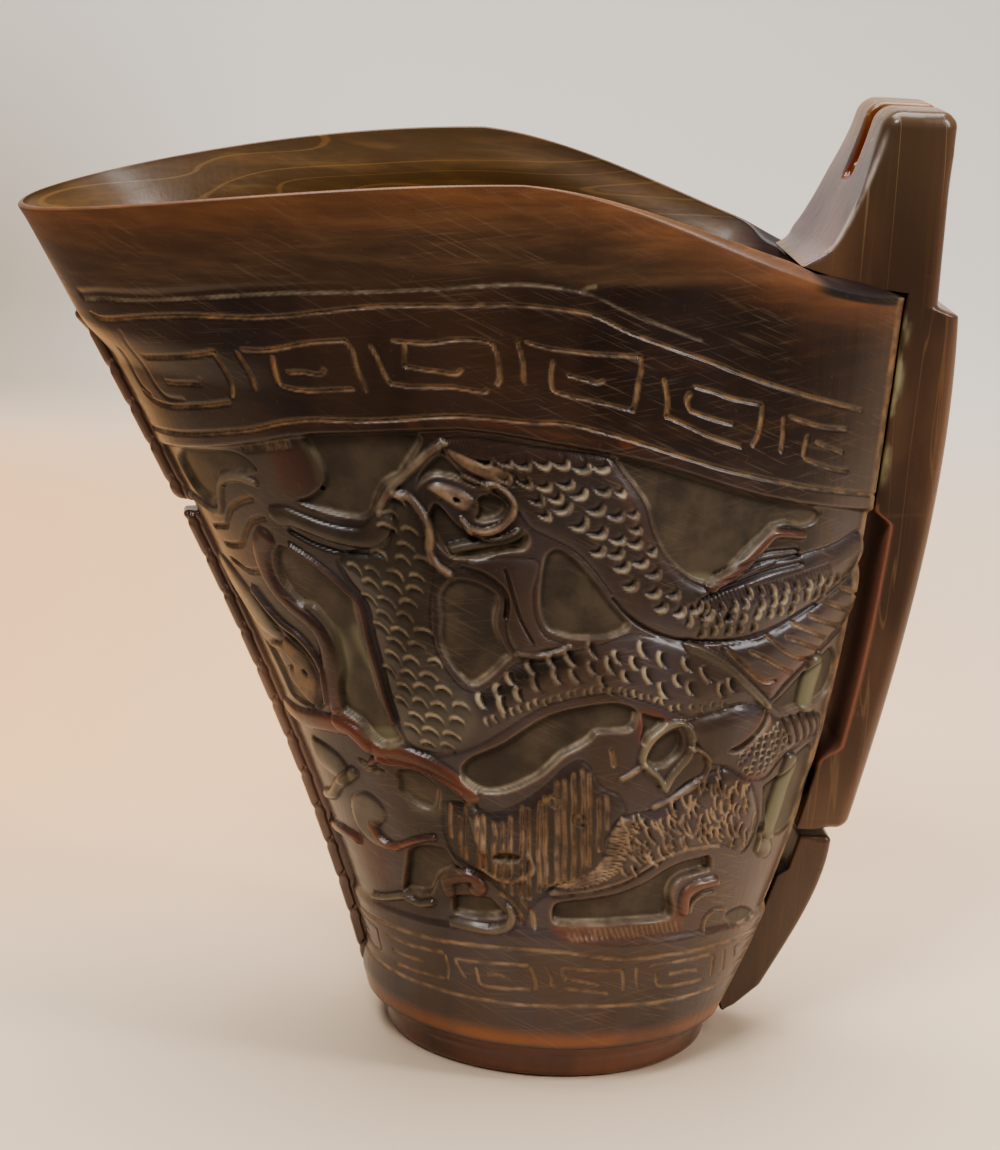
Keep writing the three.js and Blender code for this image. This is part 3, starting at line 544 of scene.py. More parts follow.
# Sunk shapes with flat floors
HOLLOWS = {
    "under_band_left": (1.5, [
        (8, 86), (11, 88.3), (16, 89.4), (20, 90.1), (24, 90.6), (26.3, 89.8), (27, 88.4), (25.4, 87.5),
        (22.5, 87.3), (20.3, 86.8), (18.4, 85.8), (17, 83.9), (15.7, 82.1), (13, 81.3), (9, 82.5)]),
    "under_band_middle": (1.4, [
        (37.2, 94.7), (40, 95.4), (45, 96), (50, 96.6), (53.6, 96.7), (54.2, 95.6), (52.5, 93.7),
        (50.4, 91.8), (49, 90.5), (47, 89.5), (45.2, 88.2), (43.8, 86.5), (42.5, 84.9), (41, 83.9),
        (38.5, 83.6), (35, 83.9), (32.2, 84.4), (31.3, 85.1), (33.6, 86), (36, 87.6), (37.3, 89.3),
        (37.4, 91.5), (36.8, 93.3)]),
    "green": (1.5, [
        (24.7, 77.9), (27, 77.4), (29, 76.1), (31, 74.7), (32.7, 73), (33.5, 71.6), (33.1, 69.5),
        (32.6, 67.5), (32.2, 65), (31.8, 62), (31.4, 59), (31.1, 56.5), (31.7, 53.8), (32.3, 51.9),
        (31, 50.9), (28.5, 50.3), (26.7, 51.5), (25.8, 53.1), (23.5, 54.1), (23.4, 55.2), (24.2, 57.5),
        (25.4, 59.5), (26.4, 61.5), (27, 64), (27.4, 66), (26.7, 68), (25.8, 69.2), (24, 69.2),
        (22.5, 70.7), (21.8, 72.2), (21.9, 74.5), (23.1, 76.7)]),
    "kidney": (1.2, [
        (45.6, 61.6), (44.3, 63.7), (44, 66), (44.5, 68.4), (45.5, 70.6), (46.2, 72.5), (47, 74.4),
        (48.5, 75.9), (50, 76.7), (52, 76.8), (54, 76.1), (55.3, 74.9), (55, 73.4), (54, 71.7),
        (53.3, 69.8), (53.4, 67.5), (53.7, 66.1), (52.4, 65.2), (50.4, 63.6), (48.5, 62.3), (46.9, 61.5)]),
    "triangle": (1.2, [
        (64.4, 81), (66, 81.8), (67.3, 81.4), (68.7, 79.8), (69.6, 78), (70.4, 76), (71, 74),
        (71.8, 72.4), (72.4, 71), (71.4, 69.8), (69.4, 69.1), (67, 68.8), (64, 68.8), (61.7, 69.3),
        (60.2, 70), (59.9, 71.5), (60.3, 73.5), (61.1, 75.5), (62.1, 77.5), (63.2, 79.4)]),
    "wide_right": (1.25, [
        (79.9, 93.9), (81, 94.4), (84, 93.6), (88, 92.1), (93, 90.2), (98, 88.3), (102, 86.9), (106, 86),
        (108.4, 85.4), (109.4, 84.2), (107.8, 83), (105.3, 82.6), (103, 83.4), (100.7, 83.3),
        (98.5, 82.2), (96, 80.8), (93.5, 79.3), (91, 77.8), (88.5, 76.6), (86, 76.1), (84, 76.8),
        (82.5, 78.4), (81.5, 80.2), (81.1, 82.5), (81.3, 85), (81.6, 87.5), (81, 90), (80.2, 92)]),
    "long": (1.5, [
        (39.3, 47.8), (39.8, 49.2), (41.7, 50.8), (44, 51.9), (46.5, 53), (49, 54.4), (51, 55.6),
        (53.5, 57), (56, 58.1), (59, 58.9), (62, 59.4), (65, 59.7), (67.3, 59.3), (68.6, 58.3),
        (68.2, 57), (67.1, 55.6), (65.6, 55.1), (63.5, 55.1), (61.5, 55), (60.3, 54.1), (58, 52.9),
        (55.5, 51.8), (53.4, 50.3), (51.4, 48.9), (49.4, 47.8), (47, 46.7), (44.5, 45.8), (42, 45.5),
        (40.5, 46), (39.5, 46.9)]),
    "round_left": (1.4, [
        (28.5, 45.4), (28.9, 46.8), (30.5, 47.4), (33, 47.3), (34.6, 46.4), (35.3, 45.1), (34.6, 43.6),
        (33.8, 42.2), (32.5, 41.4), (30.5, 41.7), (29, 42.6), (28.2, 44)]),
    "small_left": (1.2, [
        (22.4, 47.4), (24.5, 47.1), (27, 46.7), (27.1, 46.1), (24.5, 45.6), (22.3, 46.1)]),
    "left_low": (1.8, [
        (21.6, 27.2), (22.7, 29.5), (23.9, 31.5), (25.1, 33.8), (26.2, 34.8), (29, 35.9), (32.4, 36.1),
        (32.9, 34.9), (33.3, 33.7), (34.8, 33.3), (33, 32.8), (30.8, 31.8), (29.2, 30.7), (27.9, 29),
        (26.7, 27.9), (24, 27.3)]),
    "middle_low": (1.8, [
        (29.9, 25.9), (30.2, 27.5), (30.9, 28.7), (33, 29.3), (36.5, 29.5), (37.6, 28.3), (38.3, 27.1),
        (37.4, 26.4), (35, 25.9), (32, 25.6)]),
    "right_low": (1.9, [
        (44.6, 26.6), (45.1, 28.2), (46.2, 29.4), (48.5, 29.9), (52, 30.3), (55, 30.7), (58, 31.5),
        (61, 32.5), (64, 33.9), (67, 34.8), (70, 35.1), (72, 35.2), (72.3, 33.9), (71.7, 32.7),
        (69.5, 32.5), (67, 32.1), (65.1, 31.1), (64, 29.5), (63.7, 27.6), (62.8, 26.2), (61.3, 25.7),
        (58, 25.8), (54, 25.8), (50, 25.7), (46.8, 25.7), (45.2, 26)]),
    "cheek": (1.5, [
        (67, 50.6), (67.7, 51.9), (69.4, 53.5), (71.6, 54.7), (73.5, 55.2), (74, 54.3), (73.8, 52.9),
        (72.7, 51.4), (70.9, 50.2), (69.2, 49.6), (67.7, 49.7)]),
    "brown_oval": (0.8, [
        (72.2, 24.8), (74, 25.5), (76.5, 25.4), (78.6, 24.2), (79.6, 22.9), (78.4, 21.9), (75.5, 21.6),
        (73.2, 22.2), (72.2, 23.5)]),
    "green_right": (1.3, [
        (90.5, 57), (93, 58.3), (96, 59.9), (99, 61.4), (102, 62.4), (106, 63.6), (107, 60), (104, 56.5),
        (100, 55.3), (95, 55.4), (92, 55.3)]),
    "flat_right": (1.1, [
        (81.6, 36.4), (83.2, 39), (84.2, 42), (85, 44.4), (88, 45.5), (91, 46.8), (94, 48.3), (98, 48.8),
        (100, 44), (97, 39), (92, 36), (87, 35), (84.6, 36.3)]),
    "jaw_gap": (1.2, [
        (80, 51.3), (83, 52.3), (86, 53.9), (89, 56.2), (89.5, 55.3), (87.5, 53.4), (84.5, 51.7),
        (81.5, 50.7)]),
    "red_recess": (1.3, [
        (68.9, 58), (70.3, 57.6), (72.3, 56.8), (71.2, 55.5), (69, 54.3), (67.6, 53.1), (67.2, 54),
        (68.3, 55.9)]),
    "ring_eye": (1.2, [
        (39.2, 35.7), (40.3, 36.7), (42, 37), (43.8, 36.7), (43.4, 35.9), (42.2, 35.4), (40.5, 35.3)]),
    "beast_mouth": (1.8, [
        (49.9, 84.5), (50.7, 86), (52, 87.1), (53, 86), (53.8, 84.3), (55.5, 82.9), (58, 82.7),
        (61, 83.6), (62.6, 84.6), (63.2, 83), (61.8, 81.3), (59, 80.8), (57, 80.2), (54, 79.5),
        (51.2, 79.5), (50, 80.6), (49.6, 82.5)]),
    "ring_inside": (1.5, [
        (56.5, 85.3), (57.6, 86.6), (58.3, 88.3), (60.3, 88.8), (61.6, 88.2), (61.9, 87), (60.6, 85.7),
        (58.8, 85), (57.2, 84.8)]),
    "ring_above": (1.3, [
        (50, 88.5), (51.2, 90.6), (53.2, 92.4), (55.2, 93.7), (56.4, 93.6), (57.6, 91.6), (59.4, 90.4),
        (60.6, 89.6), (58.4, 89.6), (56, 90.6), (53.6, 90.7), (51.4, 89.6)]),
    "neck_side": (1.2, [
        (9, 61), (9.5, 59), (10, 56), (10.3, 53.2), (13, 52.6), (16, 52.7), (19, 53.2), (21, 55),
        (22, 57.3), (22.4, 60), (21, 62.5), (18.5, 64.6), (17, 65.5), (17.3, 64), (20.6, 61), (20.8, 58),
        (18, 53.9), (16.5, 53.6), (13.6, 56.6), (12.5, 60), (10.5, 60.4)]),
}

# Raised ribs: width, rise, colour, its share, and the points
RIBS = [
    (1.0, 0.6, "cut", 0.8, [
        (5.8, 81), (11, 80.6), (13, 80.2), (15, 80.7), (16.3, 82), (17.5, 84), (18.8, 85.5),
        (20.5, 86.4), (23, 86.9), (25.5, 86.6)]),
    (2.7, 0.7, "pale", 0.25, [
        (27, 82.2), (29, 82.5), (31.5, 81.9), (34, 81.3), (37, 81), (40, 81.2), (42, 82.4), (44, 84.2)]),
    (1.0, 0.7, "cut", 0.6, [
        (43.4, 85.2), (46, 88), (48, 89.6), (50, 91.1), (52, 92.5), (54, 93.9), (57, 95.6)]),
    (0.9, 0.7, "red", 0.55, [
        (27, 78.1), (29.5, 76.7), (31.5, 75.1), (33.4, 73), (34.4, 71.5), (34.1, 69.5), (33.3, 66),
        (32.8, 62), (32.2, 58), (32, 54.5)]),
    (2.7, 0.7, "red", 0.6, [
        (22.8, 78.6), (20.7, 76.5), (19.7, 73.5), (20, 71), (21.6, 69.1), (23.8, 67.6), (25.2, 66),
        (25.4, 63.6), (24.7, 61), (23.4, 58), (22.4, 55.2)]),
    (1.3, 0.7, None, 0, [
        (14.3, 69.4), (16, 67.2), (18.3, 65.4), (20.8, 64.2), (22.4, 62), (22.6, 59.5), (21.8, 57),
        (21, 55.2)]),
    (2.8, 0.75, "amber", 0.9, [
        (6, 50.2), (12, 50.3), (15, 50.8), (18, 51.3), (21, 51.7), (23, 51.9), (25, 51.3), (27, 49.6),
        (29, 49.1), (31, 49.5), (33, 49.4), (35.5, 48.8), (38, 47.2), (39.5, 45.2)]),
    (3.4, 0.55, "amber", 0.7, [(22.5, 53), (24.5, 52.2), (25.2, 50.4)]),
    (0.9, 0.6, "red", 0.6, [
        (24, 46), (26, 47.8), (28.5, 48.2), (31, 48.3), (34, 48), (36.8, 46.8), (38.5, 45.6)]),
    (1.8, 0.8, "amber", 0.45, [(0, 31), (5, 31.9), (10, 32.8), (14.5, 33)]),
    (1.6, 0.8, "pale", 0.7, [(9, 38), (12, 39), (15, 41.2), (18, 43), (20.5, 44.6)]),
    (0.9, 0.6, "amber", 0.8, [
        (20.4, 37), (21, 35.3), (22.5, 34.5), (24.5, 34.8), (27, 36), (29.5, 37), (31.5, 37.6)]),
    (2.0, 0.9, "amber", 0.9, [(30.6, 29.6), (31, 31.2), (33, 32.2), (35.3, 32.4), (36, 31.3), (35, 30.4)]),
    (1.0, 0.8, "pale", 0.9, [(13.5, 24), (17, 24.9), (20, 26), (22, 26.6), (24.5, 26.2), (27, 27)]),
    (1.2, 0.7, "pale", 0.5, [(29.4, 24.6), (32, 24.7), (35, 24.7), (37.8, 25.4), (39, 26.8), (39.2, 28.4)]),
    (0.9, 0.8, "line", 0.8, [
        (55.2, 83.4), (54.8, 85), (55.3, 84), (57, 83.5), (59, 84), (61, 85.2), (62.6, 86.8),
        (62.9, 88.4), (61.9, 90), (60.4, 90.2)]),
    (0.8, 0.6, "cut", 0.8, [(57.5, 91), (59, 90.3), (60.5, 89.6)]),
    (1.2, 0.8, "line", 0.7, [
        (46.9, 87.8), (48.7, 87.7), (49.5, 86), (49.7, 84), (49.1, 82), (48.3, 80.3), (48.4, 78.6),
        (49.6, 77.4)]),
    (1.4, 1.0, "pale", 0.2, [(51.5, 80.6), (54, 81.3), (57.5, 82), (60, 82.6), (62.3, 83.7)]),
    (0.9, 0.5, "cut", 0.35, [(54.6, 66.6), (57, 66.4), (60, 66.8), (62.3, 67.8)]),
    (1.8, 0.6, "pale", 0.5, [(80, 67.2), (82.5, 65.6), (85, 63.4), (87, 60.6), (89.5, 57.2)]),
    (1.5, 0.9, "amber", 1.0, [
        (86.5, 75.4), (89, 76.5), (91.5, 77.5), (94, 78.9), (97, 80.9), (99.5, 82.3), (102, 82.1),
        (104.5, 81.7)]),
    (0.7, 0.4, "line", 0.5, [
        (46, 31), (50, 31.3), (54, 32), (58, 33.2), (62, 35), (66, 36.3), (70, 36.8), (74, 36.6)]),
    (1.5, 0.6, "pale", 0.6, [(38.6, 37.2), (38.8, 40), (39, 43.4)]),
    (0.6, 0.35, "line", 0.8, [(44.9, 37), (44.9, 35), (43.6, 33.6), (41, 32.7), (39, 32.7), (37.3, 34)]),
    (0.7, 0.5, "line", 0.5, [
        (74.3, 52.2), (75.7, 51.7), (76.6, 50.5), (76.4, 49.1), (75, 47.7), (73, 46.7), (71, 45.8),
        (68, 44.6), (65.6, 43.8)]),
    (0.7, 0.5, "line", 0.6, [(62.3, 48.3), (64, 49), (66.6, 50.4)]),
    (1.1, 0.6, "pale", 0.75, [
        (68.3, 46.4), (68, 48.2), (66.9, 49.6), (66.6, 51.2), (68.3, 53.4), (70.5, 55), (73, 56),
        (74.9, 55.8), (75.2, 53.6), (74, 51.4), (71.8, 49.6), (70, 48.2), (68.3, 46.4)]),
    (0.7, 0.5, "pale", 0.4, [(81, 34.2), (82.8, 37), (84.4, 40.5), (85.2, 43.6)]),
    (3.2, 0.9, "pale", 1.0, [(84.4, 36.9), (87, 40.5), (89.5, 44), (92, 47)]),
    (3.6, 0.8, "pale", 1.0, [(97.5, 56), (99.5, 59), (101.5, 61.5)]),
    (5.0, 0.7, "pale", 0.6, [(13, 45.2), (15.4, 45), (17, 44.6)]),
    (1.6, 0.8, "amber", 0.6, [(65, 27), (66.2, 29.6), (68.5, 30.7), (71.8, 30.9)]),
    (0.6, 0.35, "line", 0.4, [(66, 26.6), (66.8, 28), (68.6, 28.9), (71, 28.9)]),
    (0.6, 0.35, "line", 0.4, [(67.4, 23.2), (68.4, 25), (70.4, 26), (72.4, 25.6)]),
]

# Plain engraved lines with dust in them, and fine dark cuts without
STROKES = [
    [(10.2, 77.4), (12, 77.9), (14.5, 78.5), (16, 79.8), (17.5, 81.2), (19, 82.2), (21, 83.2), (23.4, 84)],
    [(11.5, 75.2), (14, 75.6), (16.5, 76.4), (18, 77.6), (19.5, 79), (21, 80.3), (22.5, 81), (24.2, 81.5)],
    [(11, 73), (13, 72.6), (15, 72.2), (17, 72.6), (18.5, 73)],
    [(85.8, 66), (87, 64.3), (88.7, 62), (90, 60.8), (92, 60.8)],
    [(89.3, 65.6), (91, 64.6), (93.5, 62.8), (95.9, 61.2)],
    [(93.3, 67.3), (95, 65.2), (97, 63.8), (100, 62.7)],
    [(96.3, 66.9), (98, 66.2), (100.5, 65), (102.5, 63.8)],
    [(98.5, 68.6), (101, 67.3), (104, 65.7)],
    [(102, 69.4), (105, 68), (108, 66.6)], [(106, 71), (109, 69.6), (112, 68.2)],
    [(110.5, 72.4), (113, 71.2), (116, 70)],
    [(62.1, 50.4), (62.4, 51.5), (62.6, 52.7)],
    [(41.8, 25.6), (42.2, 27.6), (41.6, 29.6)],
    [(39.9, 26), (40.5, 27.6), (39.8, 29.4), (38.6, 30.2)],
]
DARK_CUTS = [
    [(71.2, 74.6), (72.4, 72.1), (74.5, 70), (77.5, 68.5), (81, 67.8), (86, 67.4), (90, 67.4), (95, 68.3),
     (99.5, 69.6), (104, 70.9)],
    [(57.9, 78.5), (57.5, 75), (57.1, 71.5), (57.5, 68.3)],
    [(52, 78.4), (54.5, 77.7), (56.2, 76), (56.4, 74.2), (55, 71.6)],
    [(28, 80.4), (31, 79.2), (35, 78.6), (39, 78.8)],
    [(91.9, 54.2), (92, 50.6)], [(93.7, 54.4), (93.8, 50.4)], [(95.5, 54.4), (95.7, 50.3)],
    [(97.3, 54.2), (97.5, 50.3)], [(99.2, 53.8), (99.4, 50.3)],
    [(84.5, 73.9), (88, 75), (92, 75.9), (97, 77), (103, 77.6)],
    [(88, 77), (92, 78.2), (97, 79.6), (103, 79.6)],
    [(86, 76), (91, 77), (96, 78.4), (103, 78.7)],
]


def gouge(chart, left, middle, right, width=0.5, depth=0.5, reach=0.8, share=1.0, mark="cut"):
    """One nick of a round gouge: a pale crescent through three places, with a scoop on its hollow side
    that is deepest at the crescent, runs out over reach and narrows to both ends. The scoop is darkened
    with painted shade."""
    left, middle, right = (np.asarray(p, float) for p in (left, middle, right))
    chord = right - left
    half = np.linalg.norm(chord) / 2
    along = chord / (2 * half)
    across = np.array([-along[1], along[0]])
    bend = (middle - left) @ across
    side = -1 if bend > 0 else 1
    block = chart.window(np.array([left, middle, right]), reach * 2)
    here = np.stack([chart.s[block], chart.z[block]], -1) - left
    u = here @ along / half - 1
    off = (here @ across - bend * (1 - u * u)) * side
    narrow = np.sqrt(np.clip(1 - u * u, 0, 1))
    scoop = smooth(off, -0.12, 0.12) * np.exp(-(np.maximum(off, 0) / reach) ** 2) * narrow
    edge = (1 - smooth(np.abs(off), width * 0.3, width * 0.75)) * smooth(narrow, 0.15, 0.6)
    chart.height[block] += 0.14 * edge - depth * scoop * (1 - edge)
    chart.mark(mark, block, share * edge)
    # painted shade in the scoop
    chart.mark("soot", block, share * smooth(off, width * 0.3, width) * scoop)


def sickle(chart, place, angle, size, bend, **cut):
    """A gouged crescent of a given length and bend, turned by an angle in degrees about its place."""
    turn = math.radians(angle)
    along = np.array([math.cos(turn), math.sin(turn)])
    across = np.array([-along[1], along[0]])
    gouge(chart, place - along * size / 2, place + across * bend, place + along * size / 2, **cut)


def scale_rows(chart, outline, low, high, pitch, row_pitch, angle, size, bend, margin, **cut):
    """Staggered rows of crescents over a body. angle is a pair: at the bottom and at the top row."""
    rows = np.arange(low, high, row_pitch)
    room = chart.room(outline)
    left, right = min(s for s, z in outline), max(s for s, z in outline)
    for number, row in enumerate(rows):
        places = np.arange(left + (number % 2) * pitch / 2, right, pitch)
        share = number / max(len(rows) - 1, 1)
        shake = dust.normal(0, 0.16, (len(places), 2))
        spots = np.stack([places, row + 0 * places], -1) + shake
        for spot in spots[chart.read(room, *spots.T) > margin]:
            turn = angle[0] + (angle[1] - angle[0]) * share + dust.normal(0, 6)
            grown = size * dust.uniform(0.85, 1.1)
            sickle(chart, spot, turn, grown, bend * dust.uniform(0.8, 1.15), **cut)


# Parts of the bodies that carry scales
LEFT_SCALES = [
    (34.6, 77), (38, 78.6), (41.5, 80.5), (43, 84), (46, 87.5), (48, 86), (48, 80), (46.8, 77),
    (45.2, 73.8), (43.9, 70.8), (43, 67), (43, 64), (44.2, 61), (45.4, 59), (45, 56), (41, 52.5),
    (37, 51), (33.4, 51.6), (33.2, 56), (33.8, 62), (34.6, 66), (35.5, 69.8), (35.6, 72.5)]
BACK_SCALES = [
    (84, 74.4), (88, 74.2), (92, 74.6), (98, 75.4), (104, 76.7), (110, 77.8), (115, 78.6), (115, 75.8),
    (109, 73.4), (104, 71.8), (98, 70.1), (92, 68.6), (86, 68.2), (80, 69), (80, 71)]
SNOUT_SCALES = [
    (81.5, 50), (85, 52), (88.8, 54), (91, 54), (92.5, 51), (91, 49), (88, 47.8), (84, 46.8),
    (81.6, 47.8)]


def cut_figures(chart):
    """The dragons: bodies, hollows, ribs, then all that is engraved on them."""
    for outline, high, roll in ((LEFT_DRAGON, -0.05, 4.5), (RIGHT_DRAGON, -0.05, 4.5), (STEM, -0.25, 2.5),
                                (FIN_FAN, -0.2, 3.0), (HAIR_PANEL, -0.3, 3.0), (MANE, -0.15, 3.0),
                                (SNOUT, -0.1, 2.5)):
        chart.body(outline, -FIELD_DEPTH - 0.45, high, roll)
    for depth, outline in HOLLOWS.values():
        chart.hollow(outline, depth)
    chart.body(FISH_HEAD, -1.0, -0.1, 1.6, "line", 0.75)
    chart.body(PALE_NECK, -0.8, -0.1, 2.4, "pale", 0.6)
    chart.body(CURLED_LEAF, -0.9, -0.1, 1.8, "pale", 0.4)
    chart.body(BEAK, -1.1, -0.1, 1.2, "line", 0.8)
    chart.body(CREST_TUFT, -0.9, -0.1, 1.3, "line", 0.7)
    for width, rise, mark, share, points in RIBS:
        chart.rib(points, width, rise, mark, share)
    for stroke in STROKES:
        chart.engrave(stroke, 0.55, 0.5)
    for stroke in DARK_CUTS:
        chart.engrave(stroke, 0.6, 0.5, None)
    for place, radius in (((18.9, 58.8), 0.5), ((55.3, 87.8), 0.42)):
        block, gap = chart.distance(np.array([place, place]), 1.5)
        chart.height[block] -= 0.8 * (1 - smooth(gap, radius * 0.5, radius * 1.2))
        chart.clear(block, 1 - smooth(gap, radius * 0.8, radius * 1.3))
    block, gap = chart.distance(np.array([(82.9, 34.1), (83.1, 34)]), 2.6)
    knob = np.sqrt(np.clip(1 - (gap / 2.0) ** 2, 0, 1))
    chart.height[block] = np.maximum(chart.height[block], -0.9 + 0.85 * knob)
    # the knob's upper half is pale, a painted highlight
    chart.mark("pale", block, 0.8 * smooth(knob, 0, 0.4) * smooth(chart.z[block], 33.2, 34.6))


# Crescents of the right dragon that stand alone: their left, middle and right places
RIGHT_CRESCENTS = [
    ((60.4, 93.2), (61.6, 92.5), (62.6, 93.5)), ((63, 93.3), (64.3, 92.6), (65.4, 93.8)),
    ((65.4, 93), (66.7, 92.5), (67.8, 93.6)), ((68.2, 93.4), (69.4, 92.7), (70.5, 93.7)),
    ((70.6, 93.3), (71.9, 92.7), (73.2, 94)), ((73.2, 92.6), (74.4, 92.1), (75.9, 93.5)),
    ((76, 92.7), (77.3, 92.3), (78.5, 92.9)), ((62.2, 90.9), (63.4, 90.4), (64.2, 91.6)),
    ((64.6, 90.9), (65.7, 89.9), (66.6, 91.8)), ((66.9, 90.2), (68.2, 89.7), (69.4, 91)),
    ((69.9, 90.6), (71.3, 90), (72.6, 91.4)), ((65, 88.3), (66.2, 87.5), (67.4, 89.4)),
    ((67.8, 88.6), (69.1, 88), (70.2, 89.7)), ((71.2, 88.7), (72.5, 88.6), (73.9, 90.2)),
    ((74.8, 89.8), (76, 89.1), (77.2, 90)), ((77.6, 89.5), (78.5, 88.9), (79.3, 89.8)),
    ((65.5, 86.2), (66.5, 85.6), (67.3, 87.2)), ((68, 86.8), (69.5, 86.7), (71, 88.4)),
    ((72.5, 86.8), (74, 86.5), (75.5, 88)), ((75, 86.2), (76.3, 85.6), (77.8, 86.8)),
    ((78, 86.4), (79, 85.8), (79.9, 86.8)), ((69.2, 84.6), (71, 84.4), (72.3, 86.4)),
    ((71.2, 83.7), (73, 83.3), (74.5, 85)), ((74, 82.9), (75.3, 82.3), (76.6, 83.5)),
    ((77.4, 84.2), (78.5, 83.7), (79.5, 84.6)), ((70.5, 81), (72, 80.8), (73, 82.3)),
    ((72.7, 80.7), (74.3, 80.4), (75.5, 81.8)), ((76.2, 82.4), (77.5, 81.8), (78.8, 82.9)),
    ((72.9, 78.7), (74.3, 78.5), (75.6, 80)), ((75.8, 79.5), (77, 79), (78.5, 80.2)),
    ((78.6, 81), (79.5, 80.5), (80.4, 81.4)), ((77.2, 77.7), (78.3, 77.3), (79.8, 78.7)),
    ((73.2, 76), (74.5, 75.9), (75.8, 77.3)), ((76, 75), (77.3, 74.7), (78.5, 76)),
    ((79, 74.7), (80.2, 74.3), (81.3, 75.6)), ((76.5, 72.8), (77.7, 72.7), (78.7, 74)),
    ((79, 71.9), (80, 71.7), (81.2, 73.4)), ((81.7, 72.2), (83, 72.1), (84.4, 73.8)),
    ((83, 71), (84.2, 71), (85.5, 72.5)), ((86.7, 70.3), (87.7, 70.3), (88.8, 72.2)),
]
# The feet of the middle dragon's flames, and the edge below them
FLAMES = [
    (49.4, 60), (52.3, 62), (55.7, 63.7), (59, 64.8), (58.8, 62.5), (62, 64.9), (64.3, 63.8), (65.3, 66),
    (66.8, 63.9), (68.4, 65.3), (70.5, 64.4), (72.5, 66), (74.6, 64.6), (78.2, 63.8), (76, 61.6),
    (80.8, 61.8), (77.3, 60.3), (82, 59.5), (84, 60), (71.8, 62.3), (55.4, 61.4), (52.4, 59.8),
    (61.6, 62.6), (65, 61.9), (68.6, 62.6), (73.4, 59.9), (46.9, 58.4), (49.6, 57.8)]
FLAME_EDGE = [
    (46.5, 56.6), (52, 58.8), (57, 60.3), (62, 61.5), (67, 61.4), (71, 60.2), (75, 58.5), (82, 58.3)]


def cut_scales(chart):
    """Crescents: arched rows on the left dragon, flames on the one below it, cups on the right one."""
    scale_rows(chart, LEFT_SCALES, 52, 88, 3.0, 2.05, (-14, -24), 2.4, 0.7, 0.3,
               width=0.55, depth=0.5, reach=0.6)
    for foot in FLAMES:
        lean = dust.normal(0.15, 0.25)
        size = dust.uniform(2.0, 2.8)
        gouge(chart, (foot[0] - 0.1, foot[1]), (foot[0] - 0.5 + lean * 0.5, foot[1] + size * 0.55),
              (foot[0] + lean, foot[1] + size), width=0.68, depth=0.9, reach=0.85)
    for foot in flowing(FLAME_EDGE):
        sickle(chart, foot + dust.normal(0, 0.15, 2), 72 + dust.normal(0, 14), dust.uniform(1.0, 1.5), 0.25,
               width=0.42, depth=0.4, reach=0.5)
    for points in RIGHT_CRESCENTS:
        gouge(chart, *points, width=0.52, depth=0.75, reach=0.9)
    scale_rows(chart, BACK_SCALES, 69.2, 76, 2.2, 1.7, (62, 66), 2.0, -0.45, 0.2, width=0.45)
    scale_rows(chart, SNOUT_SCALES, 47, 54, 1.3, 1.1, (20, 40), 1.0, 0.35, 0.1,
               width=0.36, depth=0.35, reach=0.5)


def cut_hair(chart):
    """Hair strokes, leaning as they rise, combed mane and the fringe under the band."""
    room = chart.room(HAIR_PANEL)
    for start in np.arange(24, 62, 1.25):
        foot = start + dust.normal(0, 0.15)
        heights = np.linspace(30.5, 51, 22) + dust.normal(0, 0.3)
        line = np.stack([foot + 0.36 * (heights - 30.5) + dust.normal(0, 0.08, 22), heights], -1)
        kept = chart.read(room, *line.T) > 0.7
        runs = np.split(line, np.nonzero(np.diff(kept.astype(int)))[0] + 1)
        for run in runs:
            if len(run) > 3 and chart.read(room, *run.T).min() > 0.6:
                stroke = run[::2] if len(run) > 6 else run
                chart.engrave(stroke, 0.48, 0.45, "line", 1.0)
                chart.engrave(stroke, 0.48, 0, "red", dust.choice([0, 0.1, 0.4]))
    for place in ((54.2, 42.3), (51.6, 45.1)):
        turn = np.linspace(0, 1.9 * np.pi, 9)
        ring = np.stack([place[0] + 0.85 * np.cos(turn), place[1] + 0.85 * np.sin(turn)], -1)
        chart.engrave(ring, 0.4, 0.35)
    comb = flowing([(47, 31.9), (51, 32.6), (54.6, 34.2), (57, 36.6), (58.8, 39.4), (61, 41.6)], steps=5)
    for middle in comb:
        slope = dust.normal(-18, 6)
        sickle(chart, middle + [0.4, 0.2], slope, 2.9, 0.2, width=0.42, depth=0.5, reach=0.35, mark="line")
    spots = np.stack([dust.uniform(57, 83, 210), dust.uniform(34, 48, 210)], -1)
    for spot in spots[chart.read(chart.room(MANE), *spots.T) > 0.8]:
        turn = 100 - 1.6 * (spot[0] - 62) + dust.normal(0, 14)
        sickle(chart, spot, turn, dust.uniform(1.4, 3.0), dust.normal(0.3, 0.15),
               width=0.42, depth=0.45, reach=0.45, mark="line")
    for s in np.arange(26.5, 34.4, 0.6):
        z = 91.4 + 0.22 * (s - 26.5)
        chart.engrave([(s, z + 0.5), (s - 0.1, z - 0.5)], 0.4, 0.3, "cut", 0.9)
    for s in np.arange(84.5, 108, 0.75):
        z = 72.9 + 0.12 * (s - 84.5)
        chart.engrave([(s, z + 1.1), (s + 0.15, z - 0.5)], 0.45, 0.28, None)
    for s in np.arange(46.5, 64, 0.8):
        chart.engrave([(s, 25.3), (s + dust.normal(0, 0.15), 23.9)], 0.34, 0.2, "line", 0.55)
    for s in np.arange(58, 79, 0.55):
        chart.engrave([(s, 96.1 - 0.04 * (s - 58)), (s + 0.1, 94.9 - 0.04 * (s - 58))], 0.35, 0.12, None)


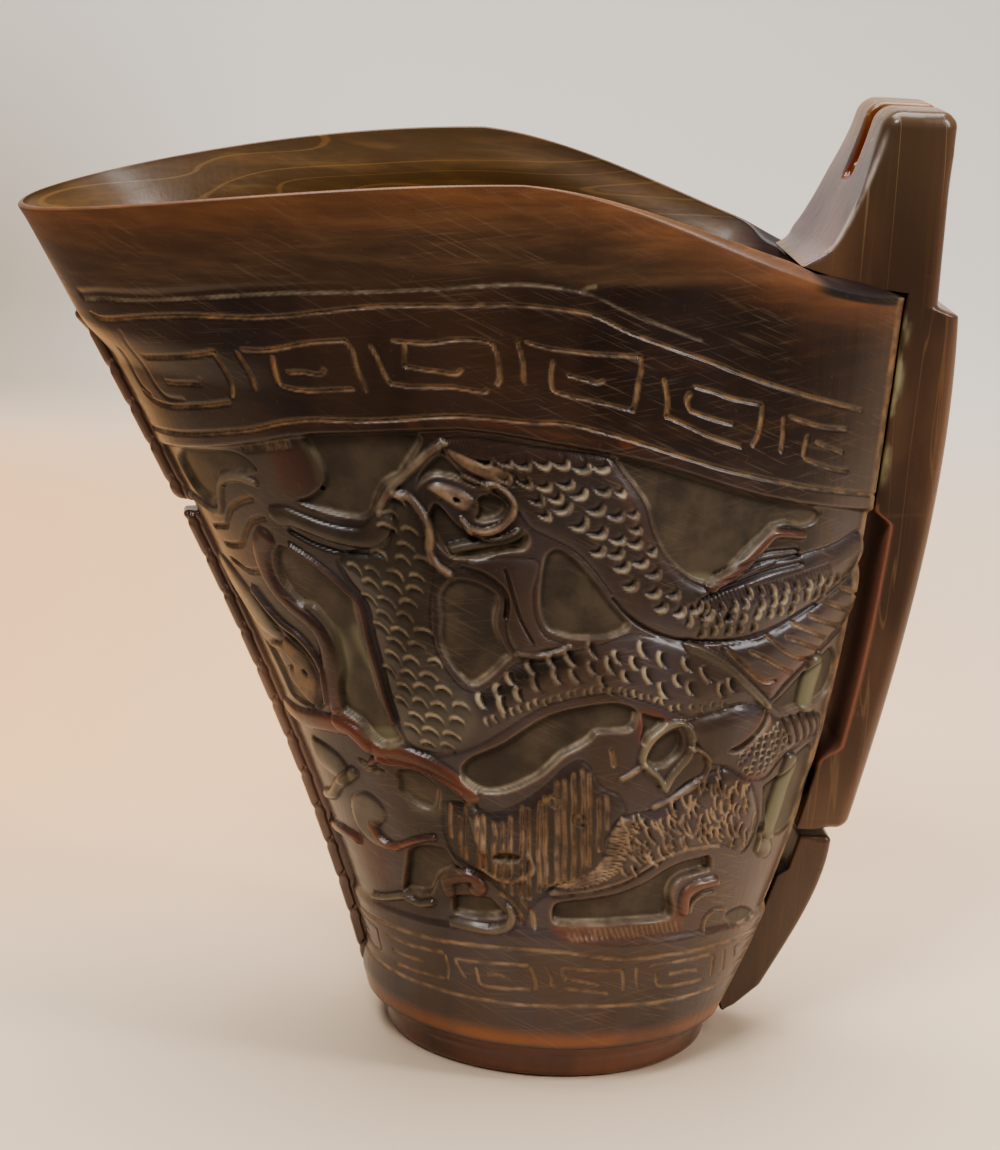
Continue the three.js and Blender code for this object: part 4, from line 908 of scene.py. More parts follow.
# Colours that follow no line of the carving: finish, its share, how soft its edge is, and the outline
TINTS = [
    # The dark patches are painted shade, and the pale patch over the left dragon's scales is a painted
    # reflection.
    ("soot", 0.45, 0.5, HAIR_PANEL),
    ("pale", 0.45, 1.0, LEFT_SCALES),
    ("soot", 0.75, 1.2, [
        (38, 43.6), (44, 43.2), (50, 46.4), (55, 50), (58.4, 50.4), (57.5, 48.6), (53, 46.6), (48, 43.4),
        (43, 41), (38.5, 41.6)]),
    ("soot", 0.9, 1.0, [
        (46.5, 60), (50, 61.8), (54, 64.8), (58, 66.2), (63, 67.2), (63, 65.4), (58, 63.8), (54, 62.2),
        (50, 59.6), (47, 58.4)]),
    ("soot", 0.4, 1.5, [
        (58, 95), (66, 94.6), (73, 93.8), (73, 91.6), (66, 90.6), (70, 86), (69, 84), (65, 86), (62, 91)]),
    ("soot", 0.35, 1.5, [
        (66, 90), (74, 92), (79, 90), (79, 83), (81, 78), (84, 74.6), (80, 72), (76, 74), (72, 79),
        (68, 85)]),
    ("red", 1.0, 1.0, [
        (31, 91.5), (33, 92.8), (34.8, 92.8), (36, 91), (36.2, 89), (34.5, 87.2), (32, 86), (30, 85.8),
        (29.5, 86.8), (30, 89)]),
    ("red", 0.9, 1.6, [(14, 33.5), (18, 33.8), (20, 32.5), (19.5, 29.5), (18, 27), (15, 26.5), (13, 28.5)]),
    ("red", 0.8, 1.0, [(14, 74.6), (17, 75.6), (19.5, 76), (20, 74.4), (17, 73.4), (14, 73.2)]),
    ("red", 0.9, 1.4, [
        (87, 63), (92, 61.6), (97, 63.2), (102, 64.6), (99, 62.6), (94, 60), (90.8, 58.6), (88.8, 60.6)]),
    ("red", 0.9, 1.0, [
        (80.6, 51.2), (84, 53), (88, 55.8), (89.4, 56.2), (89.2, 54.6), (86, 52.6), (83, 51)]),
    ("red", 1.0, 1.0, [(69, 58.3), (72.4, 57), (71, 55.3), (68, 53), (67, 53.6)]),
    ("red", 0.6, 1.0, [(81, 47), (84, 47.5), (86, 46.4), (84, 45.4), (81.5, 45.8)]),
    ("amber", 0.3, 1.2, [
        (78.6, 90), (79.8, 88), (80, 84), (79.6, 80), (81, 78), (79, 78), (77.8, 82), (77.8, 86)]),
    ("pale", 1.0, 0.9, [
        (27.2, 67), (28.3, 66.6), (28.6, 63.6), (27.6, 61), (26, 59), (25, 57), (25.6, 60.5),
        (26.7, 63.5)]),
    ("pale", 0.9, 0.8, [(30.6, 66.5), (32, 67.5), (32.4, 64), (31.9, 60.8), (30.8, 61.5)]),
    ("pale", 1.0, 0.5, [(26.4, 51.8), (28.5, 50.4), (31, 50.8), (32.4, 51.6), (31.6, 53), (28.6, 52.6)]),
    ("pale", 0.8, 0.5, [(36, 93.8), (37.5, 94.4), (37.8, 91.5), (37.4, 89.3), (36, 88.2), (36.6, 91)]),
    ("pale", 0.9, 0.5, [
        (28.4, 43.6), (30, 42.4), (32.6, 42), (34.2, 43), (34.9, 42.2), (32.6, 40.6), (29.6, 41)]),
    ("amber", 0.55, 0.8, [
        (45, 25.9), (52, 25.8), (61, 25.6), (64, 27.2), (65, 26), (63, 23.8), (55, 23.2), (47, 23.6),
        (44.6, 24.8)]),
    ("red", 0.9, 0.6, [
        (76, 25.6), (78.6, 24.2), (79.6, 22.9), (78.4, 21.9), (75.5, 21.6), (73.2, 22.2), (72.4, 24)]),
    ("pale", 0.9, 0.5, [(84, 77.4), (86, 76.2), (88, 76.6), (87, 77.4), (85.2, 77.6)]),
]


def cut_colours(chart):
    """Red lobes, amber patches, painted shade, pale streaks and a painted reflection."""
    for mark, share, soft, outline in TINTS:
        chart.tint(outline, mark, share, soft)


def carved_chart():
    """The whole carving, cut in the order in which a carver would."""
    chart = Chart()
    cut_bands(chart)
    cut_figures(chart)
    cut_scales(chart)
    cut_hair(chart)
    cut_colours(chart)
    chart.age()
    return chart


# Mesh makers

def grid_faces(rows, columns, first=0):
    """Quads over a grid of points, row by row."""
    r = np.arange(rows - 1)[:, None]
    c = np.arange(columns - 1)[None, :]
    corners = [r * columns + c, r * columns + c + 1, (r + 1) * columns + c + 1, (r + 1) * columns + c]
    return np.stack([first + k for k in np.broadcast_arrays(*corners)], -1).reshape(-1, 4)


def make_object(name, points, faces, normals=None, marks=None):
    """A smooth mesh from points in millimetres about the foot's axis, with its marks as attributes."""
    mesh = bpy.data.meshes.new(name)
    placed = (np.asarray(points, float).reshape(-1, 3) + [FOOT_X, 0, 0]) * MM
    mesh.from_pydata(placed.tolist(), [], faces)
    for key, values in (marks or {}).items():
        attribute = mesh.attributes.new(key, "FLOAT", "POINT")
        attribute.data.foreach_set("value", np.asarray(values, np.float32).ravel())
    mesh.polygons.foreach_set("use_smooth", np.ones(len(mesh.polygons), bool))
    mesh.update()
    if normals is not None:
        mesh.normals_split_custom_set_from_vertices(np.asarray(normals).reshape(-1, 3).tolist())
    piece = bpy.data.objects.new(name, mesh)
    bpy.context.scene.collection.objects.link(piece)
    return piece


def finish_piece(piece, material, slot, *nodes):
    """Gives a finished piece its material, the body it rides on and the solids it stands for; slot is not
    used.
    """
    piece.data.materials.append(material)
    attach(piece, "root")
    if nodes:
        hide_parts(*nodes)
    return piece


def surface_normals(points, outwards):
    """Unit normals of a grid of points, turned to the side that outwards points to."""
    across = np.gradient(points, axis=1)
    along = np.gradient(points, axis=0)
    normal = np.cross(across, along)
    normal /= np.maximum(np.linalg.norm(normal, axis=-1, keepdims=True), 1e-9)
    flip = np.sign((normal * outwards).sum(-1, keepdims=True))
    return normal * np.where(flip == 0, 1, flip)


# Cup wall

STEP = 4
LIP_ROWS = 4
RIM_ROWS = 12
RIM_ROUNDING = 0.8
RIM_ROUND_SHARE = 0.3
RIM_SETTLING = 80
INNER_STEP = 0.8
UP = np.array([0, 0, 1])
MIDDLE_FORWARD = 10

# Height over which a painted glow, standing in for light through the thin horn, lightens the horn by the rim
THIN_HEIGHT = 11

# The flange's groove in the nose leaves a share of the wall behind it
GROOVE_HALF = FLANGE_HALF_WIDTH + GLUE_GAP
GROOVE_DEEPEST = 2.3
GROOVE_SHARE = 0.85
GROOVE_SPARE = 0.35
WALL_BEHIND_FLANGE = 1.3


def from_middle(points):
    """Level directions outwards from the cup's middle, which lies forward of the foot's axis."""
    return points * [1, 1, 0] + [MIDDLE_FORWARD, 0, 0]


def way_round(turn, levels):
    """Distance round the wall from the nose to each turn, at each level, summed along the plan curve."""
    ring = outer_wall(turn[None, :], levels[:, None])
    step = np.linalg.norm(np.diff(ring, axis=1), axis=-1)
    return np.concatenate([np.zeros((len(levels), 1)), np.cumsum(step, axis=1)], 1)


def equal_turns(columns, level=90.0):
    """Turns from the nose to the back that lie equally far apart round the wall at one height."""
    fine = np.linspace(0, 0.5, 2001)
    way = way_round(fine, np.array([level]))[0]
    return np.interp(np.linspace(0, way[-1], columns + 1), way, fine)


def chart_place(turn, z):
    """Distance from the nose for a grid of points, from the distances at whole millimetres of height."""
    levels = np.arange(LIP_HEIGHT, CREST_HEIGHT + 2)
    table = way_round(turn, levels)
    spot = np.clip(z - LIP_HEIGHT, 0, len(levels) - 1.001)
    row = spot.astype(int)
    column = np.arange(len(turn))[None, :]
    share = spot - row
    return table[row, column] * (1 - share) + table[row + 1, column] * share


def carved_relief(chart, turn, outer, z, top, varied):
    """Depth and finish of the carving at each point, with a thin pale line along the handle's seam that is a
    painted highlight, painted shade on the rim under its ear, and a painted glow of light through the thin
    horn by the rim and above the lip; the far side is drawn through a gentle wave."""
    s = chart_place(turn, z)
    to_seat = seat_reach(z) - outer[..., 0]
    wax = span(to_seat, 0.06, 0.2, 1.0, 1.7)
    shaded_by_ear = smooth(outer[-1, :, 0], EAR_ROOT - 3, EAR_ROOT + 1) * smooth(z, top - 1.9, top - 1.1)
    if varied:
        s, z = s + 1.3 * np.sin(z / 15) * smooth(s, 8, 20), z + 0.8 * np.sin(s / 19) * smooth(z, 22, 30)
    marks = {name: chart.read(sheet, s, z) for name, sheet in chart.marks.items()}
    # painted glow: light through the thin horn by the rim, none in the painted shade under the ear
    marks["thin"] = smooth(z, top - THIN_HEIGHT, top) ** 2 * (1 - shaded_by_ear)
    # painted shade on the rim under the ear
    marks["soot"] = np.maximum(marks["soot"], 0.8 * shaded_by_ear)
    # painted glow along the lip, standing in for light through the thin horn there
    marks["lip"] = span(z, 6.1, 6.8, 7.2, 9.6)
    # the pale line along the seam is a painted highlight on the wall's edge
    marks["line"] = np.maximum(marks["line"], 0.8 * wax)
    band_top = np.interp(s, *np.array(RIM_BAND_TOP).T)
    marks["plain_rim"] = smooth(z, band_top, band_top + 1.5)
    return chart.read(chart.height, s, z), marks


def nose_groove(turn, outer, z):
    """Share of each point that lies in the flange's groove, between its sides and ends, and the depth of
    its bed, which grows with the wall's thickness as far as the deepest."""
    share = 1 - smooth(np.abs(outer[..., 1]), GROOVE_HALF - 0.1, GROOVE_HALF + 0.15)
    share = share * span(z, FLANGE_BOTTOM - 0.6, FLANGE_BOTTOM - 0.3, FLANGE_TOP + 0.3, FLANGE_TOP + 0.6)
    share = share * (turn < 0.25)
    bed = GROOVE_SHARE * (between(z, *FRONT_WALL) - WALL_BEHIND_FLANGE) + GROOVE_SPARE
    return share, np.minimum(GROOVE_DEEPEST, bed)


def outer_grid(chart, side, columns, climb_rows):
    """The fine grid that runs under the lip, up the carved wall and over the rim in half an ellipse, with
    its normals and the marks of the carved rows."""
    turn = equal_turns(columns)
    climb = np.linspace(0, 1, climb_rows + 1)[:, None]
    top = rim_level(outer_wall, turn[None, :])
    z = LIP_HEIGHT + climb * (top - LIP_HEIGHT)
    wall = outer_wall(turn[None, :] + 0 * z, z)
    normal = surface_normals(wall, from_middle(wall))
    relief, marks = carved_relief(chart, turn, wall, z, top, side > 0)
    groove, bed = nose_groove(turn, wall, z)
    wall = wall + normal * (relief * (1 - groove) - bed * groove)[..., None]
    inner_top = rim_level(inner_wall, turn[None, :])
    rim_out, rim_in = wall[-1], thinned_wall(turn, inner_top[0], inner_top[0])
    thick = np.linalg.norm(rim_out - rim_in, axis=-1)[None, :, None]
    rise = np.minimum(thick * RIM_ROUND_SHARE, RIM_ROUNDING)
    lean = np.linspace(0, np.pi, RIM_ROWS + 1)[1:, None, None]
    middle = (rim_out + rim_in) / 2
    over = middle + (rim_out - middle) * np.cos(lean) + UP * (np.sin(lean) - 1) * rise
    wall = wall - UP * np.exp(-((1 - climb) * RIM_SETTLING) ** 2)[..., None] * rise[0]
    foot = inner_wall(turn, np.full_like(turn, LIP_HEIGHT))
    under = np.array([foot + (wall[0] - foot) * k / LIP_ROWS for k in range(LIP_ROWS)])
    grid = np.concatenate([under, wall, over])
    outwards = [under * 0 - UP, normal, under[:1] * 0 + normal[-1] * np.cos(lean) + UP * np.sin(lean)]
    return grid, surface_normals(grid, np.concatenate(outwards)), marks, turn, inner_top


def inner_grid(turn, top, rows):
    """The coarse grid inside: up the inner wall in even steps, with close ones beside the rim's edge."""
    rim_steps = RIM_ROWS // STEP
    level = np.linspace(0, 1, rows - rim_steps)[:, None]
    level = LIP_HEIGHT + INNER_STEP + level * (top - INNER_STEP * (rim_steps + 1) - LIP_HEIGHT - INNER_STEP)
    level = np.concatenate([level, top - INNER_STEP * np.arange(rim_steps, 0, -1)[:, None]])
    grid = thinned_wall(turn[None, :] + 0 * level, level, top)
    return grid, surface_normals(grid, -from_middle(grid)), level


def spread_marks(marks, shape):
    """Marks of the carved rows laid over a whole fine grid: none under the lip, the rim's own over it."""
    spread = {key: np.zeros(shape) for key in [*marks, "inside"]}
    for key, values in marks.items():
        spread[key][LIP_ROWS:LIP_ROWS + len(values)] = values
        if key in ("thin", "plain_rim", "soot"):
            spread[key][LIP_ROWS + len(values):] = values[-1]
    spread["inside"][-RIM_ROWS:] = np.linspace(0, 1, RIM_ROWS)[:, None]
    return spread


def wall_side(name, side, chart, columns, climb_rows, bands):
    """One half of the wall, a fine grid outside and a coarse one inside, cut into bands that share their
    edge points. side is 1 for +Y."""
    fine, fine_normal, marks, turn, inner_top = outer_grid(chart, side, columns, climb_rows)
    low_top = inner_top[:, ::STEP]
    coarse, coarse_normal, level = inner_grid(turn[::STEP], low_top, (fine.shape[0] - 1) // STEP + 1)
    for grid in (fine, coarse, fine_normal, coarse_normal):
        grid[..., 1] *= side
    marks = spread_marks(marks, fine.shape[:2])
    low_marks = {key: np.zeros(coarse.shape[:2]) for key in marks}
    low_marks["inside"][:] = 1
    # painted glow of light through the thin horn by the rim, inside as well
    low_marks["thin"][:] = smooth(level, low_top - THIN_HEIGHT, low_top) ** 2
    for number, (first, last) in enumerate(zip(bands[:-1], bands[1:])):
        rows, low = slice(first, last + 1), slice(first // STEP, last // STEP + 1)
        banded = {key: np.concatenate([marks[key][rows].ravel(), low_marks[key][low].ravel()])
                  for key in marks}
        yield sewn_panel(f"{name}_{number + 1}", fine[rows], coarse[low], fine_normal[rows],
                         coarse_normal[low], banded, side)


def sewn_panel(name, fine, coarse, fine_normal, coarse_normal, marks, side):
    """A closed shell from a fine grid and a coarse one, whose edges meet in bands of seven-sided faces."""
    rows, columns = fine.shape[:2]
    low_rows, low_columns = coarse.shape[:2]
    base = rows * columns
    faces = grid_faces(rows, columns).tolist()
    faces += grid_faces(low_rows, low_columns, base)[:, ::-1].tolist()
    fine_id = np.arange(base).reshape(rows, columns)
    low_id = base + np.arange(low_rows * low_columns).reshape(low_rows, low_columns)
    edges = [(fine_id[0], low_id[0], 1), (fine_id[-1], low_id[-1], -1),
             (fine_id[:, 0], low_id[:, 0], -1), (fine_id[:, -1], low_id[:, -1], 1)]
    for fine_edge, low_edge, way in edges:
        for k in range(len(low_edge) - 1):
            run = fine_edge[k * STEP:k * STEP + STEP + 1].tolist()
            face = run + [int(low_edge[k + 1]), int(low_edge[k])]
            faces.append(face[::-1] if way > 0 else face)
    if side > 0:
        faces = [f[::-1] for f in faces]
    points = np.concatenate([fine.reshape(-1, 3), coarse.reshape(-1, 3)])
    normals = np.concatenate([fine_normal.reshape(-1, 3), coarse_normal.reshape(-1, 3)])
    return make_object(name, points, faces, normals, marks)


# Handle, tab and flanges: blocks with rounded edges, bent to the cup

def crowded(low, high, count, *spots):
    """Places from low to high in even steps, with eight more over each pair of spots."""
    places = [np.linspace(low, high, count)] + [np.linspace(start, end, 8) for start, end in spots]
    places = np.unique(np.round(np.concatenate(places), 4))
    return places[(places >= low) & (places <= high)]


def rounded_block(name, shape, heights, thick_places, wide_places, roundings, carve=None, marks=None,
                  top_rounding=0.0):
    """A block from the six faces of a box. Each edge is rolled over: a point is pulled to its nearest place
    in a box smaller by the rounding, and pushed out again by the rounding. shape gives the front edge, the
    thickness and the half width at a height; roundings are those of the front and of the back edges, and
    top_rounding is what they grow to at the top."""
    low, high = heights[0], heights[-1]
    points, quads = [], []

    def roll(alpha, beta, z):
        alpha, beta, z = np.broadcast_arrays(alpha, beta, z)
        _, thick, half = shape(z)
        rounding = roundings[0] + (roundings[1] - roundings[0]) * smooth(alpha, 0.3, 0.7)
        rounding = np.maximum(rounding, top_rounding * smooth(z, high - 14, high - 2))
        here = np.stack([alpha * thick, beta * half, z], -1)
        lowest = np.stack([rounding, rounding - half, low + rounding], -1)
        highest = np.stack([thick - rounding, half - rounding, high - rounding], -1)
        core = np.clip(here, lowest, highest)
        gap = here - core
        size = np.linalg.norm(gap, axis=-1, keepdims=True)
        return core + gap / np.maximum(size, 1e-9) * rounding[..., None]

    def add(grid):
        quads.append(grid_faces(grid.shape[0], grid.shape[1], sum(len(p) for p in points)))
        points.append(grid.reshape(-1, 3))

    for end in (low, high):
        add(roll(thick_places[:, None], wide_places[None, :], end))
    for alpha in (0.0, 1.0):
        add(roll(alpha, wide_places[None, :], heights[:, None]))
    for beta in (-1.0, 1.0):
        add(roll(thick_places[None, :], beta, heights[:, None]))
    points, quads = np.concatenate(points), np.concatenate(quads).tolist()
    if carve is not None:
        points = carve(points)
    points[:, 0] += shape(points[:, 2])[0]
    return welded(make_object(name, points, quads, None, marks(points) if marks else None))


def welded(piece):
    """Joins the box's faces along their edges and turns them all outwards."""
    shell = bmesh.new()
    shell.from_mesh(piece.data)
    bmesh.ops.remove_doubles(shell, verts=shell.verts, dist=2e-6)
    bmesh.ops.dissolve_degenerate(shell, edges=shell.edges, dist=1e-6)
    bmesh.ops.recalc_face_normals(shell, faces=shell.faces)
    shell.to_mesh(piece.data)
    shell.free()
    return piece


EAR_TOP = 140.0
EAR_ROOT = SEAT_REACH - 12.7
EAR_SKEW = 0.9
SKEW_STARTS = (118.5, 121)
SKEW_FADES = (119, 138)
EAR_SWELL = SEAT_REACH - 9.3
EAR_FRONT_TOP = SEAT_REACH - 4.9
EAR_BACK = SEAT_REACH + 5.0
EAR_BACK_TOP = SEAT_REACH + 5.5
EAR_FLARE = 2.6
EAR_FLARE_HEIGHT = 1.7
EAR_UNDER_FRONT = 118.0
EAR_UNDER_BACK = HANDLE_RIM_HEIGHT + 0.1
EAR_UNDER_GAP = 0.03
SLIT_HALF = 1.8
SLIT_SHOULDER = 0.9
SLIT_DEPTH_FRONT = 13.2
SLIT_DEPTH_BACK = 3.4
SLIT_DIP = 0.5
SLIT_CLEARANCE = 14
TOP_ROUNDING = 2.3
SEAM = 0.06
LEDGE_HEIGHT = 111.8
BOARD_BOTTOM = 33.8
BOARD_BACK_LINE = (7.8, 7.3, 11.4, 8.4)
BOARD_HALF_LOW, BOARD_HALF_HIGH = 7.0, 10.8
BOARD_NARROWING = 0.2
TAB_BOTTOM, TAB_TOP = 4.2, 32.4
TAB_BACK_LINE = (5.2, 5.6, 8.3, 6.3)
TAB_HALF = 6.0
TAB_UNDERCUT = 0.6
TOE_TOP = 8.5
TOE_REACH = 27.0
TOE_THICK = 5.4

# Slots behind the handle: where each starts and ends, and how wide it is
BOARD_SLOT = (44.5, 83.5, 2.6)
TAB_SLOT = (26.0, 60.0, 1.3)


def seat_with_slot(z, slot):
    """The handle's front edge: along the seat, set back where the slot runs."""
    start, end, width = slot
    return seat_reach(z) + SEAM + width * span(z, start, start + width, end - width, end)


def board_back(z):
    """The board's back edge: a cubic curve off the seat, stepped at the ledge to the ear's straight back."""
    reach = seat_reach(z) + pulled(z, BOARD_BOTTOM, LEDGE_HEIGHT, BOARD_BACK_LINE)
    ear = EAR_BACK - (EAR_BACK - EAR_BACK_TOP) * smooth(z, 128, EAR_TOP)
    return reach + (ear - reach) * smooth(z, LEDGE_HEIGHT - 0.4, LEDGE_HEIGHT + 1.3)


def board_shape(z):
    """Front edge, thickness and half width of the board: along the seat below, along the rim under the ear,
    then up the ear's face, a cubic curve whose foot flares forward as an exponential."""
    along = np.linspace(SEAT_REACH + SEAM, EAR_ROOT - 4, 60)
    under = np.interp(z, rim_height(along) + EAR_UNDER_GAP, along)
    face = pulled(z, EAR_UNDER_FRONT, EAR_TOP, (EAR_ROOT, EAR_SWELL, EAR_FRONT_TOP - 1.5, EAR_FRONT_TOP))
    face = face - EAR_FLARE * np.exp(-np.maximum(z - EAR_UNDER_FRONT, 0) / EAR_FLARE_HEIGHT)
    front = np.where(z < EAR_UNDER_BACK, seat_with_slot(z, BOARD_SLOT), np.maximum(under, face))
    climb = (np.minimum(z, LEDGE_HEIGHT) - BOARD_BOTTOM) / (LEDGE_HEIGHT - BOARD_BOTTOM)
    half = BOARD_HALF_LOW + (BOARD_HALF_HIGH - BOARD_HALF_LOW) * climb
    return front, board_back(z) - front, half


def slit_floor(x):
    """Height of the slit's floor: a straight slope, deepest at the ear's front."""
    share = (x - EAR_ROOT) / (EAR_BACK - EAR_ROOT)
    return EAR_TOP - SLIT_DEPTH_FRONT + share * (SLIT_DEPTH_FRONT - SLIT_DEPTH_BACK)


def cut_ear(points):
    """The slit along the top of the ear, round at the bottom and with quarter circles for shoulders, a
    slight skew by the rim, and the narrower back edge; x is still measured from the front."""
    front, _, half = board_shape(points[:, 2])
    x = points[:, 0] + front
    off = np.abs(points[:, 1])
    floor = slit_floor(x)
    wall = floor + SLIT_CLEARANCE * smooth(off, SLIT_HALF, SLIT_HALF + 0.3)
    dip = SLIT_DIP * np.clip(1 - (points[:, 1] / SLIT_HALF) ** 2, 0, 1)
    cut = np.clip(off - SLIT_HALF, 0, SLIT_SHOULDER)
    shoulder = SLIT_SHOULDER - np.sqrt(SLIT_SHOULDER ** 2 - (SLIT_SHOULDER - cut) ** 2)
    shoulder = shoulder * smooth(points[:, 2], floor - 0.5, floor + 1.5)
    depth = points[:, 0].copy()
    points[:, 0] += shoulder * (1 - smooth(depth, 0.5, 4))
    skew = EAR_SKEW * points[:, 1] / half * (1 - smooth(points[:, 2], *SKEW_FADES))
    points[:, 0] -= skew * smooth(points[:, 2], *SKEW_STARTS) * (1 - smooth(depth, 0, 10))
    points[:, 2] -= shoulder * smooth(points[:, 2], EAR_TOP - 3, EAR_TOP)
    points[:, 2] = np.minimum(points[:, 2], wall - dip)
    half = board_shape(points[:, 2])[2]
    points[:, 1] *= 1 - BOARD_NARROWING * np.maximum(x - SEAT_REACH, 0) / half
    return points


def handle_marks(points):
    """The handle's back edge, recessed front, slit and pale seam line, a painted reflection on the ear's
    front face and a painted highlight along its edge: each a product of S curves in depth and height."""
    front, thick, half = board_shape(points[:, 2])
    z, off, depth = points[:, 2], np.abs(points[:, 1]), points[:, 0] - front
    start, end, _ = BOARD_SLOT
    slit = (1 - smooth(off, SLIT_HALF + 0.05, SLIT_HALF + 0.35)) * (z > slit_floor(points[:, 0]) - 0.4)
    near_front = 1 - smooth(depth, 0.4, 1.6)
    arris = np.exp(-((depth - 0.75) / 0.3) ** 2) * smooth(off, half - 1.6, half - 0.6)
    return {"edge": smooth(depth, thick - 2.6, thick - 1.0),
            "slit": slit * (z < EAR_TOP - 0.8),
            "facet": near_front * span(z, 118, 119, 131, 138),
            "arris": arris * span(z, 118, 121, 134, 138),
            "wax": near_front * span(z, 86, 90, 112, 114),
            "recess": span(z, start - 1, start, end, end + 1) * (1 - smooth(depth, 0.3, 0.8))}


def tab_shape(z):
    """Front edge, thickness and half width of the tab: a cubic curve behind, over a straight slanted toe."""
    front = seat_with_slot(np.maximum(z, LIP_HEIGHT), TAB_SLOT)
    undercut = TAB_UNDERCUT * (LIP_HEIGHT - z) / (LIP_HEIGHT - TAB_BOTTOM)
    front = np.where(z < LIP_HEIGHT, front + undercut, front)
    toe_end = float(seat_reach(TOE_TOP)) + TOE_THICK
    toe = TOE_REACH + (z - TAB_BOTTOM) / (TOE_TOP - TAB_BOTTOM) * (toe_end - TOE_REACH)
    back = seat_reach(z) + pulled(z, LIP_HEIGHT, TAB_TOP, TAB_BACK_LINE)
    back = np.where(z < TOE_TOP, toe, back)
    return front, back - front, TAB_HALF + 0 * z


TOOTH_PITCH = 5.4
NOTCH_DEPTH = 0.22
NOTCH_WIDTH = 0.5
HOOK_DEPTH = 0.28
HOOK_WIDTH = 0.32
HOOK_SLANT = 0.9


def flange_shape(z):
    """The flange follows the front line, with shallow notches, and thins where its groove does."""
    teeth = (FLANGE_TOP - z) / TOOTH_PITCH % 1 - 0.5
    notch = NOTCH_DEPTH * np.exp(-(teeth * TOOTH_PITCH / NOTCH_WIDTH) ** 2)
    outer = -front_reach(z) + notch
    depth = np.minimum(FLANGE_DEPTH, nose_set_back(z) + between(z, *FRONT_WALL) - WALL_BEHIND_FLANGE)
    return outer, depth - notch, FLANGE_HALF_WIDTH + 0 * z


def cut_hooks(points):
    """Slanted hook grooves on a flange's side faces and a line behind them, bell curves in section."""
    across, z = points[:, 0], points[:, 2]
    phase = ((FLANGE_TOP - z + HOOK_SLANT * across) / TOOTH_PITCH) % 1 - 0.5
    groove = np.exp(-(phase * TOOTH_PITCH / HOOK_WIDTH) ** 2) * (1 - smooth(across, 1.3, 1.7))
    seam = np.exp(-((across - 1.75) / 0.22) ** 2)
    side = smooth(np.abs(points[:, 1]), 1.0, 2.0)
    points[:, 1] *= 1 - (HOOK_DEPTH * np.maximum(groove, seam * 0.8) / FLANGE_HALF_WIDTH) * side
    return points


# Foot

FOOT_HALF = (24.0, 21.6)
FOOT_RADIUS = 22.0
FOOT_HEIGHT = 5.7
FOOT_HOLLOW = 0.7
FOOT_RIM = 4.2
FOOT_EDGE = 1.1
FOOT_SHOULDER = 0.8
FOOT_LINE = (3.3, 0.12, 0.35)
FOOT_COLUMNS = 256


def foot_points():
    """The foot as rings up a profile: each ring below is the foot's oval at a share of its size, over a
    hollow underside and edges rolled in quarter circles, and each ring above is the spigot's oval."""
    turn = np.arange(FOOT_COLUMNS) / FOOT_COLUMNS
    side = np.stack([-FOOT_HALF[0] * np.cos(turn * 2 * np.pi), FOOT_HALF[1] * np.sin(turn * 2 * np.pi)], -1)
    spigot = inner_wall(turn, np.full_like(turn, FLOOR_TOP))[:, :2]
    spigot = spigot * (1 - GLUE_GAP / np.linalg.norm(spigot, axis=-1, keepdims=True))
    roll = np.linspace(0, np.pi / 2, 7)
    out = [(k, FOOT_HOLLOW) for k in (0.02, 0.3, 0.6, 0.8)]
    out += [(1 - (FOOT_RIM - 0.6 * np.sin(t)) / FOOT_RADIUS, FOOT_HOLLOW * np.cos(t)) for t in roll]
    out += [(1 - FOOT_EDGE * (1 - np.sin(t)) / FOOT_RADIUS, FOOT_EDGE * (1 - np.cos(t))) for t in roll]
    line_height, line_depth, line_width = FOOT_LINE
    out += [(1 - line_depth * np.exp(-((z - line_height) / line_width) ** 2) / FOOT_RADIUS, z)
            for z in np.linspace(1.6, 4.6, 13)]
    out += [(1 - FOOT_SHOULDER * (1 - np.cos(t)) / FOOT_RADIUS,
             FOOT_HEIGHT - FOOT_SHOULDER * (1 - np.sin(t))) for t in roll]
    plug = [(1.03, FOOT_HEIGHT), (1, FOOT_HEIGHT), (1, 8), (1, FLOOR_TOP - 0.5)]
    plug += [(k, FLOOR_TOP) for k in (0.98, 0.6, 0.3, 0.02)]
    return np.array([np.concatenate([oval * k, np.full((FOOT_COLUMNS, 1), z)], 1)
                     for oval, profile in ((side, out), (spigot, plug)) for k, z in profile])


def foot_block():
    """The foot's rings joined up, and closed by a point in the middle below and above."""
    rings = foot_points()
    count = rings.shape[0]
    looped = np.concatenate([rings, rings[:, :1]], 1)
    faces = grid_faces(count, FOOT_COLUMNS + 1).tolist()
    low, high = [0.0, 0.0, FOOT_HOLLOW], [0.0, 0.0, FLOOR_TOP]
    points = np.concatenate([looped.reshape(-1, 3), [low, high]])
    hub = count * (FOOT_COLUMNS + 1)
    last = (count - 1) * (FOOT_COLUMNS + 1)
    faces += [[k + 1, k, hub] for k in range(FOOT_COLUMNS)]
    faces += [[last + k, last + k + 1, hub + 1] for k in range(FOOT_COLUMNS)]
    return welded(make_object("foot_block", points, faces))


# Materials

def colour(red, green, blue):
    """A linear colour from the screen's 0 to 255 values."""
    parts = [c / 255 for c in (red, green, blue)]
    return tuple(c / 12.92 if c <= 0.04045 else ((c + 0.055) / 1.055) ** 2.4 for c in parts) + (1.0,)


# Heights over which the darker belt below the rim, the lighter crown of the ear and the tab's shade change
BELT_START = (88, 97)
CROWN_START = (116, 137)
TAB_SHADE_END = (24, 40)
FIBRE_DEPTH = 0.00008

# Sockets of a Mix node that mixes colours: its factor, first and second colour, and its result
MIX_INPUTS = (0, 6, 7)
MIX_OUTPUT = 2


